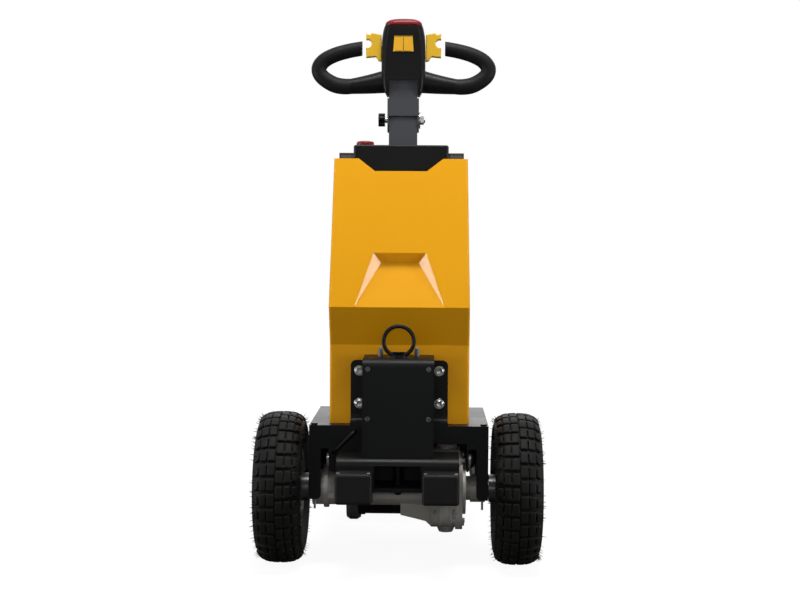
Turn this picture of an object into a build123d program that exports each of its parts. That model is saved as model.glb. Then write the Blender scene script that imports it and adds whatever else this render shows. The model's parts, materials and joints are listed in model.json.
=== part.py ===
from build123d import *
import math
import os

os.makedirs("parts", exist_ok=True)

# Pedestrian electric tow tug, millimetres. X is across, +Z up, and Y runs from the hitch (-Y) to the
# operator (+Y). Every Y below is measured from the drive axle; save() then moves the whole machine so
# that its origin lies on the floor under the middle of its box.

# ---- fits and clearances
SEAT = 0.3            # a piece that rests beside or inside another
RUNNING = 0.075       # radial play of a shaft in its bore
BOLT_GAP = 0.8        # a bolt head beside a plate

# ---- drive wheels
TYRE_RADIUS = 163.0
TYRE_WIDTH = 102.0
TYRE_CLEARANCE = 11.0 # from the leg to the tyre's side
TYRE_SIDE = (1.0, 0.54), (0.79, 0.91)   # share of half the width, and of the height from bead to tread
BEAD_RADIUS = 82.0
BEAD_HALF = 37.0      # half the width over the beads
BEAD_FOOT_IN = 5.0    # how far the bead's foot stands inside the rim's lip
RIM_WALL = 3.0
RIM_LIP = 11.0        # height of the rim's edge outside the bead
RIM_WELL = 10.0       # depth of the rim's middle below the bead seats
RIM_WELL_HALF = 18.0
RIM_DISH = 9.0        # how far the disc leans towards the frame from its edge to its middle
RIM_DISC_IN = 15.0    # from the tyre's middle towards the frame
RIM_DISC_THICK = 4.0
RIM_HOLE_CIRCLE = 60.0
RIM_HOLE_RADIUS = 6.5
RIM_HOLE_COUNT = 8
HUB_RADIUS = 30.0
HUB_CLEARANCE = 3.0   # from the leg to the hub
HUB_FLANGE_RADIUS = 52.0
HUB_FLANGE_THICK = 8.0
HUB_NOSE_RADIUS = 22.0
HUB_NOSE_OUT = 20.0
HUB_NOSE_ROUND = 4.0
WHEEL_NUT_CIRCLE = 38.0
WHEEL_NUT_RADIUS = 9.5
WHEEL_NUT_HEIGHT = 8.0
WHEEL_NUT_COUNT = 5
WHEEL_STUD_RADIUS = 5.0
WHEEL_STUD_END = 4.0
AXLE_SHAFT_RADIUS = 15.0
AXLE_SHAFT_DEPTH = 45.0

# ---- rear casters
CASTER_INSET = 70.5   # from the frame's side to the swivel
CASTER_PIVOT_Y = 420.0
CASTER_TRAIL = 27.0
CASTER_WHEEL_RADIUS = 50.0
CASTER_WHEEL_WIDTH = 35.0
CASTER_HUB_WIDTH = 39.0
CASTER_AXLE_RADIUS = 6.0
CASTER_CHEEK = 3.0
CASTER_EYE = 15.0     # half the cheek's width round the axle
CASTER_CROWN = (1.0, 6.0), (0.5, 0.0)   # share of half the width, and depth below the tread
CASTER_HUB_RADIUS = 18.0
CASTER_CROWN_FRONT = 20.0
CASTER_CHEEK_BACK = 12.0
CASTER_BOLT_RADIUS = 9.0
CASTER_BOLT_HEAD = 5.0
CASTER_FORK_TOP = 121.0
CASTER_FORK_PLATE = 5.0
CASTER_STEM_RADIUS = 12.0
CASTER_RACE_RADIUS = 27.0
CASTER_TOP_PLATE = 5.0
CASTER_TOP_SIZE = (95.0, 85.0)

# ---- frame
DECK_TOP = 304.0
PLATE = 6.0
FRAME_HALF = 191.0
BEAM_FRONT = -51.0
BEAM_BACK = 62.0
BEAM_FACE_BOTTOM = 254.0
APRON_HALF = 149.0
APRON_BOTTOM = 206.0
MOUTH_BACK_HALF = 60.0
WINDOW_GAP = 7.0      # beside and above the gear case, in the beam's window
LEG_WIDTH = 25.0
LEG_BACK = 52.0
LEG_BOTTOM = 145.0
LEG_WALL = 5.0
LEG_BOLT_RADIUS = 2.4
LEG_BOLT_LENGTH = 20.0
DECK_REAR = 270.0
CHEEK = 4.0
CAP_RADIUS = 22.5
CAP_LENGTH = 15.0
CAP_Y = -18.0
CAP_GAP = 7.5         # above the axle tube
CAP_BORE = 4.0
CAP_SHAPE = (0.33, 1.0), (0.66, 0.88), (0.9, 0.62), (1.0, 0.36)   # shares of its length and radius
CABLE_RADIUS = 4.5
CABLE_ENDS = (-93.0, 292.5), (-138.5, 247.0)   # x and z of the two grommets
CABLE_BEND = 13.0     # centre-line radius where it turns out of a grommet
GROMMET_RADIUS = 9.0
GROMMET_THICK = 4.0
LEG_ROUND = 10.0
CORNER_BOLT = (7.0, 3.5, 10.0)   # radius, height and distance from the beam's end
DECK_LIP = 30.0
BULKHEAD_GAP = 3.0    # between the front beam's rear edge and the deck's bulkhead
CASTER_PLATE_FRONT = 55.0        # ahead of the swivel
CASTER_PLATE_ROUND = 14.0
RAIL_WIDTH = 30.0
RAIL_HEIGHT = 40.0
RAIL_WALL = 3.0
REAR_END = 488.0
STRUT_Y = 205.0
STRUT_DEPTH = 40.0

# ---- hitch
HITCH_PLATE_HALF = 104.0
HITCH_PLATE_TOP = 441.5
HITCH_PLATE_FRONT = -26.0
HITCH_BEND = 14.0
HITCH_CORNER = 12.0
HITCH_BOLT_ROWS = (348.5, 419.0)
HITCH_BOLT_HEAD = 10.5
HITCH_BOLT_SHANK = 5.0
HITCH_BOLT_HOLE = 5.5
HITCH_BOLT_HEAD_HEIGHT = 6.0
TOWER_HALF = 74.0
TOWER_FRONT = -140.0
TOWER_TOP = 453.5
TOWER_WALL = 5.0
TOWER_BEND = 16.0
TOWER_HOLE_X = 63.0
TOWER_HOLE_ROWS = (329.5, 433.0)
TOWER_HOLE_RADIUS = 5.5
STUD_X = 38.0
STUD_Y = -84.0
STUD_RADIUS = 5.7
STUD_HEIGHT = 20.0
BUMPER_HALF = 127.0
BUMPER_FRONT = -150.0
BUMPER_TOP = 249.0
BUMPER_BEND = 16.0
BUMPER_BOTTOM = 159.0
MOUTH_HALF = 48.0
MOUTH_TOP = 234.0
SHELF_TOP = 187.0
SHELF_THICK = 8.0
BLOCK_INNER = 51.0
BLOCK_TOP = 224.5
BLOCK_DEPTH = 45.0
BLOCK_ROUND = 7.0
PIN_Y = -100.0
PIN_RADIUS = 10.0
PIN_TIP = 166.0
PIN_CHAMFER = 5.0
PIN_COLLAR_RADIUS = 17.0
PIN_COLLAR = 4.0
RING_RADIUS = 31.5
RING_BAR = 4.25

# ---- transaxle
AXLE_TUBE_RADIUS = 38.0
GEAR_INNER_X = 70.0
GEAR_OUTER_X = 137.0
GEAR_FRONT = -44.0
GEAR_BACK = 58.0
GEAR_TOP = 250.0
GEAR_BOTTOM = 81.0
GEAR_CORNER = 30.0
GEAR_CAP_RADIUS = 22.0
GEAR_CAP_TOP = 259.0
GEAR_BOSS_RADIUS = 21.0
GEAR_BOSS_BOTTOM = 67.0
GEAR_BOSS_TAPER = 6.0
GEAR_BOSS_X = 102.0
GEAR_CAP_X = 103.0
GEAR_SHOULDER_X = 132.0   # the case narrows above this joint
GEAR_SHOULDER_Z = 226.0
GEAR_FLANGE_X = 122.0
GEAR_FLANGE_STEP = 4.0
GEAR_SCREWS = (  # y and z of the flange screws
    (-34.0, 228.0), (42.0, 228.0), (-37.0, 100.0), (6.0, 84.0),
)
GEAR_SCREW_BOSS = 8.0
GEAR_SCREW_HEAD = 5.0
GEAR_RIB_X = (88.0, 110.0)
GEAR_RIB_THICK = 4.0
GEAR_RIB_STEP = 3.0
COVER_RING_RADIUS = 56.0
COVER_RING_OUT = 144.0
STUB_RADIUS = 26.0
STUB_COLLAR_RADIUS = 30.0
STUB_COLLAR_X = 154.0
NECK_START_X = 14.0
NECK_RADIUS = 42.0
NECK_RING = 12.0
TUBE_RIB = (10.0, 2.0)    # height and depth of the casting's joint rib in front
SUMP_OUTLINE = (  # x out from the middle and z of the sloping sump below the axle tube
    (4.0, 107.0), (38.0, 99.0), (58.0, 94.0), (70.0, 83.0),
)
SUMP_Y = (-22.0, 26.0)
END_FLANGE = (10.0, 44.0) # thickness and radius of the flange that bolts to the leg
MOTOR_Y = 100.0
MOTOR_Z = 142.0
MOTOR_RADIUS = 56.0
MOTOR_LEFT = -93.0
MOTOR_BELL = 62.0
MOTOR_BAND = 2.5          # how far the end covers stand out from the can
MOTOR_END_COVER = 16.0
MOTOR_END_ROUND = 6.0
MOTOR_BOX = (46.0, 34.0, 12.0)

# ---- body
COVER_WALL = 3.0
COVER_GAP = 0.7           # round the console and the rear housing
COVER_SPARE = 20.0        # how far the cover's inside is cut past its open rear and foot
COVER_ROUND = 5.0         # bend radius along the cover's edges
COVER_FACE_Y = -15.0
COVER_TOP_HALF = 144.0
COVER_SPREAD = 6.0        # how much further out its sides stand at the fold
COVER_FOLD_Z = 473.5
NOSE_Y = -75.0
NOSE_Z = 557.5
COVER_TOP_Y = 15.0
COVER_TOP = 873.0
COVER_BACK = 150.0
NOTCH_HALF = 56.0
NOTCH_TOP_HALF = 92.0
NOTCH_BOTTOM = 846.0
RECESS_NOSE_HALF = 95.0
RECESS_TOP_HALF = 55.7
RECESS_TOP_Z = 671.5
RECESS_FLOOR_HALF = 40.5
RECESS_FLOOR_Y = -17.0
RECESS_FLOOR_Z = 650.0
HOUSING_INSET = 7.5       # from the cover's top corner to the housing's side
HOUSING_FRONT = 70.0
HOUSING_BACK = 217.5
HOUSING_TOP = 888.0
HOUSING_WALL = 3.0
HOUSING_ROUND = 10.0
CONSOLE_HALF = 102.7
CONSOLE_FRONT = 19.0
CONSOLE_BACK = 205.0
CONSOLE_TOP = 903.0
CONSOLE_BACK_TOP = 889.0
CONSOLE_BOTTOM = 838.0
CONSOLE_ROUND = 4.0
CONSOLE_WALL = 3.0
STOP_X = -82.0
STOP_Y = 120.0
STOP_RADIUS = 19.5
STOP_TOP = 917.0
STOP_COLLAR_IN = 5.0
STOP_SHAPE = (  # radius less than the cap's, and height below its top
    (STOP_COLLAR_IN, 9.0), (0.0, 9.0), (0.0, 4.0), (2.5, 1.2), (7.0, 0.0),
)
KEY_BARREL = 5.0
KEY_BOW = (1.2, 9.0, 19.0)   # half thickness, half width and height
KEY_X = 72.0
KEY_Y = 140.0
KEY_RADIUS = 12.0
BATTERY_GAP = 3.5     # beside the battery, to the housing
BATTERY_DEPTH = 168.0
BATTERY_HEIGHT = 430.0
BATTERY_Y = 114.0

# ---- tiller
POST_Y = 235.0
POST_WIDTH = 65.0
POST_DEPTH = 35.0
POST_WALL = 3.0
POST_FOOT = (130.0, 6.0)
PIVOT_Z = 972.0
PIVOT_BOLT_RADIUS = 6.0
PIVOT_BOLT_END = 14.0
SLEEVE_WALL = 3.3
WEB_BOTTOM = 981.0
SLEEVE_TOP = 1021.0
EAR_BOTTOM = 943.5
TUBE_BOTTOM = 996.0
TUBE_TOP = 1110.0
WASHER_RADIUS = 19.0
WASHER_THICK = 3.0
NUT_RADIUS = 10.0
NUT_HEIGHT = 8.0
KNOB_RADIUS = 16.0
KNOB_LOBE = 5.4
KNOB_LOBES = 5
KNOB_INNER = 42.0
KNOB_OUTER = 57.0
HEAD_BOTTOM = 1062.0
HEAD_CHEEK_BOTTOM = 1027.0
HEAD_CHEEK_HALF = 38.0
HEAD_SECTIONS = (  # z, half width, half depth and corner radius of the moulded head
    (1036.0, 44.0, 25.0, 9.0),
    (1064.0, 49.5, 28.5, 13.0),
    (1110.0, 50.5, 29.5, 15.0),
    (1152.0, 49.5, 28.5, 16.0),
    (1186.0, 43.5, 25.0, 16.0),
)
ARM_Z = 1062.0
ARM_END_X = 122.0
ARM_END_DROP = 12.5
GRIP_RADIUS = 17.6
ARM_SECTIONS = (  # x, drop below ARM_Z, lean, half depth and half height of the moulded arm
    (36.5, 0.0, 0.0, 22.0, 27.0),
    (82.0, 8.0, 0.17, 20.5, 21.5),
    (ARM_END_X, ARM_END_DROP, 0.05, GRIP_RADIUS, GRIP_RADIUS - 0.05),
)
GRIP_CORNERS = (  # x, z and bend radius of the loop's centre line beyond the arm
    (178.0, 1046.5, 50.0),
    (207.0, 1084.0, 22.0),
    (170.0, 1119.0, 45.0),
)
GRIP_END = (88.0, 1135.3)
GRIP_CUT_X = 94.5
PADDLE_LOW = 1111.0
PADDLE_OUTLINE = (  # x out from the head and z up from PADDLE_LOW
    (0.0, -5.0), (7.0, -3.0), (13.0, 6.0), (35.2, 4.0), (35.2, 57.5), (26.2, 55.5), (21.2, 59.5), (0.0, 55.5),
)
PADDLE_DEPTH = 22.0
PADDLE_ROUND = 2.0
PADDLE_NOTCH = (83.0, 1146.5, 9.5)   # x, z and radius of the round notch in the outer edge
BUTTON_HALF = 42.5
BUTTON_TOP = 1203.5
BUTTON_DEPTH = 46.0
BUTTON_CORNER = 14.0
BUTTON_ROUND = 12.0
LABEL_TOP_HALF = 20.5
LABEL_LOW_HALF = 23.3
LABEL_Z = (1126.0, 1161.0)
LABEL_THICK = 1.0

# ---- worked out from the sizes above
HEAD_HALF = max(half for z, half, deep, round_off in HEAD_SECTIONS)
HEAD_DEPTH = 2 * max(deep for z, half, deep, round_off in HEAD_SECTIONS)
HEAD_TOP = HEAD_SECTIONS[-1][0]
AXLE_Z = TYRE_RADIUS
WHEEL_X = FRAME_HALF + TYRE_CLEARANCE + TYRE_WIDTH / 2
RIM_DISC_X = WHEEL_X - RIM_DISC_IN
HUB_INNER_X = FRAME_HALF + HUB_CLEARANCE
CASTER_X = FRAME_HALF - CASTER_INSET
CAP_Z = AXLE_Z + AXLE_TUBE_RADIUS + CAP_GAP + CAP_RADIUS
HITCH_BOLT_X = TOWER_HALF + HITCH_BOLT_HEAD + BOLT_GAP
COVER_HALF = COVER_TOP_HALF + COVER_SPREAD
HOUSING_HALF = COVER_TOP_HALF - HOUSING_INSET
BATTERY_HALF = HOUSING_HALF - HOUSING_WALL - BATTERY_GAP
BLOCK_FRONT = BUMPER_FRONT - BLOCK_DEPTH
CASTER_CONTACT_Y = CASTER_PIVOT_Y + CASTER_TRAIL
RAIL_INNER = FRAME_HALF - RAIL_WIDTH
MACHINE_BACK = CASTER_CONTACT_Y + CASTER_WHEEL_RADIUS
ORIGIN_SHIFT = Pos(0, -(BLOCK_FRONT + MACHINE_BACK) / 2, 0)
SIDES = (("left", -1), ("right", 1))
ALONG_X = Axis((0, 0, 0), (1, 0, 0))


def save(name, shape):
    export_step(ORIGIN_SHIFT * shape, f"parts/{name}.step")


def block(x0, x1, y0, y1, z0, z1):
    """A box from its six limits."""
    return Pos((x0 + x1) / 2, (y0 + y1) / 2, (z0 + z1) / 2) * Box(x1 - x0, y1 - y0, z1 - z0)


def rod_x(radius, x0, x1, y, z):
    """A round bar along X."""
    return Pos((x0 + x1) / 2, y, z) * Rot(0, 90, 0) * Cylinder(radius, abs(x1 - x0))


def rod_y(radius, y0, y1, x, z):
    """A round bar along Y."""
    return Pos(x, (y0 + y1) / 2, z) * Rot(90, 0, 0) * Cylinder(radius, abs(y1 - y0))


def rod_z(radius, z0, z1, x, y):
    """A round bar along Z."""
    return Pos(x, y, (z0 + z1) / 2) * Cylinder(radius, abs(z1 - z0))


def side_profile(points, x0, x1):
    """A plate between x0 and x1 whose outline is a list of (y, z) points."""
    face = make_face(Polyline(*[(x0, y, z) for y, z in points], close=True))
    return extrude(face, x1 - x0, dir=(1, 0, 0))


def front_profile(points, y0, y1):
    """A plate between y0 and y1 whose outline is a list of (x, z) points."""
    face = make_face(Polyline(*[(x, y0, z) for x, z in points], close=True))
    return extrude(face, y1 - y0, dir=(0, 1, 0))


def turned_x(profile):
    """Revolves a closed list of (x, radius) points about the axle line."""
    face = make_face(Polyline(*[(x, 0, r) for x, r in profile], close=True))
    return revolve(face, ALONG_X)


def hexagon_x(radius, x0, x1, y, z):
    """A nut or bolt head along X, from its radius over the corners."""
    return Pos(x0, y, z) * Rot(0, 90, 0) * extrude(RegularPolygon(radius, 6), x1 - x0)


def around(count, circle, shape):
    """Copies of a shape drawn on the axle line, set out on a circle about it."""
    return [Rot(360 / count * i, 0, 0) * Pos(0, 0, circle) * shape for i in range(count)]


def edge_near(shape, y, z):
    """The edge along X whose middle lies nearest to a given height and depth."""
    return shape.edges().filter_by(Axis.X).sort_by(lambda e: math.hypot(e.center().Y - y, e.center().Z - z))[0]


def mirrored(shape, side):
    return shape if side > 0 else mirror(shape, Plane.YZ)


def pair(shape):
    """The piece drawn on the right and its mirror image, in one node."""
    return Compound(children=[mirrored(shape, side) for name, side in SIDES])


# ---- drive wheels: all drawn on the right and mirrored
def tyre():
    """Plain tyre out to the tips of its lugs: bead, bulging side, shoulder and crowned tread."""
    height = TYRE_RADIUS - BEAD_RADIUS
    right = [(BEAD_HALF - BEAD_FOOT_IN, BEAD_RADIUS)]
    right += [(wide * TYRE_WIDTH / 2, BEAD_RADIUS + tall * height) for wide, tall in TYRE_SIDE]
    left = [(-x, radius) for x, radius in reversed(right)]
    return Pos(WHEEL_X, 0, AXLE_Z) * turned_x(right + [(0, TYRE_RADIUS)] + left)


def rim():
    """Pressed rim: a well between two bead seats, upright lips outside the beads, and a dished disc."""
    seat = BEAD_RADIUS - SEAT
    inside = seat - RIM_WALL
    lip_in = BEAD_HALF + SEAT
    lip_out = lip_in + RIM_WALL
    slope = RIM_WELL_HALF + RIM_WELL
    lip_top = BEAD_RADIUS + RIM_LIP
    outer = [(-lip_out, inside), (-lip_out, lip_top), (-lip_in, lip_top), (-lip_in, seat), (-slope, seat),
             (-RIM_WELL_HALF, seat - RIM_WELL), (RIM_WELL_HALF, seat - RIM_WELL), (slope, seat), (lip_in, seat),
             (lip_in, lip_top), (lip_out, lip_top), (lip_out, inside)]
    well = inside - RIM_WELL
    inner = [(slope + 1, inside), (RIM_WELL_HALF + 1, well), (-RIM_WELL_HALF - 1, well), (-slope - 1, inside)]
    barrel = turned_x(outer + inner)
    disc = RIM_DISC_X - WHEEL_X
    edge = inside - RIM_WELL + 1
    flat = HUB_FLANGE_RADIUS
    face = disc + RIM_DISC_THICK
    bore = AXLE_SHAFT_RADIUS + SEAT
    dish = turned_x([(disc, bore), (face, bore), (face, flat), (face + RIM_DISH, edge), (disc + RIM_DISH, edge),
                     (disc, flat)])
    hole = rod_x(RIM_HOLE_RADIUS, disc - RIM_DISH, disc + 3 * RIM_DISH, 0, 0)
    holes = around(RIM_HOLE_COUNT, RIM_HOLE_CIRCLE, hole)
    bores = around(WHEEL_NUT_COUNT, WHEEL_NUT_CIRCLE,
                   rod_x(WHEEL_STUD_RADIUS + SEAT, disc - 1, disc + RIM_DISC_THICK + 1, 0, 0))
    return Pos(WHEEL_X, 0, AXLE_Z) * (barrel + dish - holes - bores)


def hub():
    """Hub with its axle shaft, the flange behind the disc, wheel studs with their nuts, and a rounded nose."""
    flange_in = RIM_DISC_X - HUB_FLANGE_THICK
    disc_in = RIM_DISC_X - SEAT
    disc_out = RIM_DISC_X + RIM_DISC_THICK
    nose_out = disc_out + HUB_NOSE_OUT
    body = turned_x([
        (HUB_INNER_X - AXLE_SHAFT_DEPTH, 0), (HUB_INNER_X - AXLE_SHAFT_DEPTH, AXLE_SHAFT_RADIUS),
        (HUB_INNER_X, AXLE_SHAFT_RADIUS), (HUB_INNER_X, HUB_RADIUS), (flange_in, HUB_RADIUS),
        (flange_in, HUB_FLANGE_RADIUS), (disc_in, HUB_FLANGE_RADIUS), (disc_in, AXLE_SHAFT_RADIUS),
        (disc_out + SEAT, AXLE_SHAFT_RADIUS), (disc_out + SEAT, HUB_NOSE_RADIUS),
        (nose_out - HUB_NOSE_ROUND, HUB_NOSE_RADIUS), (nose_out, HUB_NOSE_RADIUS - HUB_NOSE_ROUND),
        (nose_out, 0)])
    nut_out = disc_out + SEAT + WHEEL_NUT_HEIGHT
    stud = rod_x(WHEEL_STUD_RADIUS, flange_in + 1, nut_out + WHEEL_STUD_END, 0, 0) + hexagon_x(
        WHEEL_NUT_RADIUS, disc_out + SEAT, nut_out, 0, 0)
    body += around(WHEEL_NUT_COUNT, WHEEL_NUT_CIRCLE, stud)
    return Pos(0, 0, AXLE_Z) * body


# ---- rear casters, drawn about their own swivel axis
def caster_top():
    wide, deep = CASTER_TOP_SIZE
    low = CASTER_FORK_TOP + SEAT
    plate_low = LEG_BOTTOM - PLATE - CASTER_TOP_PLATE
    plate = block(-wide / 2, wide / 2, -deep / 2, deep / 2, plate_low, plate_low + CASTER_TOP_PLATE)
    race = rod_z(CASTER_RACE_RADIUS, low, plate_low, 0, 0)
    bore = rod_z(CASTER_STEM_RADIUS + RUNNING, low - 1, plate_low, 0, 0)
    return plate + race - bore


def caster_fork():
    """Swivelling fork: a crown, two tapering cheeks, and the wheel's axle bolt with its head and nut."""
    inner = CASTER_HUB_WIDTH / 2 + SEAT
    outer = inner + CASTER_CHEEK
    low = CASTER_FORK_TOP - CASTER_FORK_PLATE
    crown = rod_z(CASTER_RACE_RADIUS, low, CASTER_FORK_TOP, 0, 0) + block(
        -outer, outer, -CASTER_CROWN_FRONT, CASTER_TRAIL, low, CASTER_FORK_TOP)
    cheek = side_profile([(-CASTER_CROWN_FRONT, low), (CASTER_TRAIL + CASTER_CHEEK_BACK, low),
                          (CASTER_TRAIL + CASTER_EYE, CASTER_WHEEL_RADIUS),
                          (CASTER_TRAIL - CASTER_EYE, CASTER_WHEEL_RADIUS)], inner, outer)
    cheek += rod_x(CASTER_EYE, inner, outer, CASTER_TRAIL, CASTER_WHEEL_RADIUS)
    cheek += hexagon_x(CASTER_BOLT_RADIUS, outer, outer + CASTER_BOLT_HEAD, CASTER_TRAIL, CASTER_WHEEL_RADIUS)
    axle = rod_x(CASTER_AXLE_RADIUS, -outer, outer, CASTER_TRAIL, CASTER_WHEEL_RADIUS)
    stem_top = LEG_BOTTOM - PLATE - CASTER_TOP_PLATE - 1
    stem = rod_z(CASTER_STEM_RADIUS, low, stem_top, 0, 0)
    return crown + cheek + mirror(cheek, Plane.YZ) + axle + stem


def caster_wheel():
    """Solid wheel with a crowned tread and a hub that stands out on both sides."""
    half = CASTER_WHEEL_WIDTH / 2
    hub_half = CASTER_HUB_WIDTH / 2
    bore = CASTER_AXLE_RADIUS + RUNNING
    right = [(hub_half, bore), (hub_half, CASTER_HUB_RADIUS - 2), (half, CASTER_HUB_RADIUS)]
    right += [(share * half, CASTER_WHEEL_RADIUS - drop) for share, drop in CASTER_CROWN]
    left = [(-x, radius) for x, radius in reversed(right)]
    return Pos(0, CASTER_TRAIL, CASTER_WHEEL_RADIUS) * turned_x(right + left)


# ---- frame
def front_beam():
    """Folded beam across the front: top, face, apron with cheeks, a tongue behind the mouth, a gear window."""
    inside = BEAM_FRONT + LEG_WALL
    window_left = GEAR_INNER_X - WINDOW_GAP
    top = block(-FRAME_HALF, FRAME_HALF, BEAM_FRONT, BEAM_BACK, DECK_TOP - PLATE, DECK_TOP)
    face = block(-FRAME_HALF, FRAME_HALF, BEAM_FRONT, inside, BEAM_FACE_BOTTOM, DECK_TOP)
    apron = block(-APRON_HALF, window_left, BEAM_FRONT, inside, APRON_BOTTOM, BEAM_FACE_BOTTOM)
    tongue = block(-MOUTH_BACK_HALF, MOUTH_BACK_HALF, BEAM_FRONT, inside, SHELF_TOP - SHELF_THICK, APRON_BOTTOM)
    beam = top + face + apron + tongue
    for side in (-1, 1):
        outer = side * APRON_HALF
        inner = side * (APRON_HALF - CHEEK)
        beam += block(min(outer, inner), max(outer, inner), BEAM_FRONT, LEG_BACK, APRON_BOTTOM, DECK_TOP)
    gear_window = block(window_left, APRON_HALF - CHEEK, BEAM_FRONT - 1, inside + 1, APRON_BOTTOM - 1,
                        GEAR_CAP_TOP + WINDOW_GAP)
    radius, height, inset = CORNER_BOLT
    for side in (-1, 1):
        beam += rod_z(radius, DECK_TOP, DECK_TOP + height, side * (FRAME_HALF - inset), BEAM_FRONT + 2 * radius)
    return beam - gear_window


def leg():
    """Channel leg, open towards the middle, rounded at its foot, with the axle through its web."""
    top = DECK_TOP - PLATE
    outer = block(FRAME_HALF - LEG_WIDTH, FRAME_HALF, BEAM_FRONT, LEG_BACK, LEG_BOTTOM, top)
    foot = outer.edges().filter_by(Axis.Y).group_by(Axis.Z)[0].sort_by(Axis.X)[0]
    outer = fillet(foot, LEG_ROUND)
    inner = block(FRAME_HALF - LEG_WIDTH - 1, FRAME_HALF - LEG_WALL, BEAM_FRONT + LEG_WALL, LEG_BACK - LEG_WALL,
                  LEG_BOTTOM - 1, top + 1)
    beam_face = block(0, FRAME_HALF + 1, BEAM_FRONT - 1, BEAM_FRONT + LEG_WALL, BEAM_FACE_BOTTOM, top + 1)
    shaft = rod_x(HUB_RADIUS + 5, FRAME_HALF - LEG_WIDTH - 1, FRAME_HALF + 1, 0, AXLE_Z)
    return outer - inner - beam_face - shaft


def leg_bolts():
    """Ends of the four upright bolts below the legs."""
    middle = FRAME_HALF - LEG_WIDTH / 2
    low = LEG_BOTTOM - LEG_BOLT_LENGTH
    bolts = []
    for side in (-1, 1):
        for y in (BEAM_FRONT + LEG_WALL / 2, LEG_BACK - LEG_WALL / 2):
            bolts.append(rod_z(LEG_BOLT_RADIUS, low, LEG_BOTTOM, side * middle, y))
    return bolts


def domed_cap():
    """Zinc cap beside the beam: flat against the cheek, rounded towards the leg."""
    end = APRON_HALF + CAP_LENGTH
    outline = [(end, 0), (APRON_HALF, 0), (APRON_HALF, CAP_RADIUS)]
    outline += [(APRON_HALF + long * CAP_LENGTH, wide * CAP_RADIUS) for long, wide in CAP_SHAPE]
    dome = Pos(0, CAP_Y, CAP_Z) * turned_x(outline)
    return dome - rod_x(CAP_BORE, end - 2 * CAP_BORE, end + 1, CAP_Y, CAP_Z)


def grommets():
    """Two rubber rings on the beam's front, each with its bore for the cable."""
    back = BEAM_FRONT - SEAT
    rings = []
    for x, z in CABLE_ENDS:
        ring = rod_y(GROMMET_RADIUS, back - GROMMET_THICK, back, x, z)
        rings.append(ring - rod_y(CABLE_RADIUS + SEAT, back - GROMMET_THICK - 1, back + 1, x, z))
    return rings


def cable():
    """Motor cable from one grommet to the other, bent out of each and straight between them."""
    out = BEAM_FRONT - SEAT - GROMMET_THICK / 2 - CABLE_BEND
    (x0, z0), (x1, z1) = CABLE_ENDS
    corners = [(x0, BEAM_FRONT - SEAT, z0), (x0, out, z0), (x1, out, z1), (x1, BEAM_FRONT - SEAT, z1)]
    path = FilletPolyline(*corners, radius=CABLE_BEND)
    start = Plane(origin=path @ 0, z_dir=path % 0)
    made = sweep(start * Circle(CABLE_RADIUS), path=path)
    section = math.pi * CABLE_RADIUS ** 2
    share = made.volume / (section * path.length)
    print("cable length", round(path.length, 1), "bend radius", CABLE_BEND, "volume share", round(share, 3))
    return made


def rear_deck():
    """Deck over the rails, with a bulkhead below its front edge and its rear edge folded down."""
    plate = block(-FRAME_HALF, FRAME_HALF, BEAM_BACK, DECK_REAR, DECK_TOP - PLATE, DECK_TOP)
    start = BEAM_BACK + BULKHEAD_GAP
    bulkhead = block(-FRAME_HALF, FRAME_HALF, start, start + PLATE, APRON_BOTTOM, DECK_TOP)
    lip = block(-FRAME_HALF, FRAME_HALF, DECK_REAR - PLATE, DECK_REAR, DECK_TOP - DECK_LIP, DECK_TOP)
    return plate + bulkhead + lip


def rail():
    """Hollow rail from the leg to the rear, closed at its end, with a square strut up to the deck."""
    high = LEG_BOTTOM + RAIL_HEIGHT
    wall = RAIL_WALL
    tube = block(RAIL_INNER, FRAME_HALF, LEG_BACK, REAR_END, LEG_BOTTOM, high)
    tube -= block(RAIL_INNER + wall, FRAME_HALF - wall, LEG_BACK - 1, REAR_END - wall,
                  LEG_BOTTOM + wall, high - wall)
    strut_end = STRUT_Y + STRUT_DEPTH
    strut = block(RAIL_INNER, FRAME_HALF, STRUT_Y, strut_end, high, DECK_TOP - PLATE)
    strut -= block(RAIL_INNER + wall, FRAME_HALF - wall, STRUT_Y + wall, strut_end - wall, high + wall,
                   DECK_TOP - PLATE + 1)
    return tube + strut


def caster_plate():
    """Plate across both rails that carries the casters."""
    front = CASTER_PIVOT_Y - CASTER_PLATE_FRONT
    plate = block(-FRAME_HALF, FRAME_HALF, front, REAR_END, LEG_BOTTOM - PLATE, LEG_BOTTOM)
    return fillet(plate.edges().filter_by(Axis.Z), CASTER_PLATE_ROUND)


# ---- hitch
def hitch_plate():
    back = HITCH_PLATE_FRONT + PLATE
    low = DECK_TOP
    foot = low + PLATE
    outline = [(BEAM_FRONT, low), (back, low), (back, HITCH_PLATE_TOP), (HITCH_PLATE_FRONT, HITCH_PLATE_TOP),
               (HITCH_PLATE_FRONT, foot), (BEAM_FRONT, foot)]
    plate = side_profile(outline, -HITCH_PLATE_HALF, HITCH_PLATE_HALF)
    plate = fillet(edge_near(plate, HITCH_PLATE_FRONT, foot), HITCH_BEND)
    corners = plate.edges().filter_by(Axis.Y).group_by(Axis.Z)[-1]
    plate = fillet(corners, HITCH_CORNER)
    for x in (-HITCH_BOLT_X, HITCH_BOLT_X):
        for z in HITCH_BOLT_ROWS:
            plate -= rod_y(HITCH_BOLT_HOLE, HITCH_PLATE_FRONT - 1, back + 1, x, z)
    return plate


def plate_bolts():
    bolts = []
    for x in (-HITCH_BOLT_X, HITCH_BOLT_X):
        for z in HITCH_BOLT_ROWS:
            head = rod_y(HITCH_BOLT_HEAD, HITCH_PLATE_FRONT - HITCH_BOLT_HEAD_HEIGHT, HITCH_PLATE_FRONT, x, z)
            shank = rod_y(HITCH_BOLT_SHANK, HITCH_PLATE_FRONT, COVER_FACE_Y - SEAT, x, z)
            bolts.append(head + shank)
    return bolts


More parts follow.
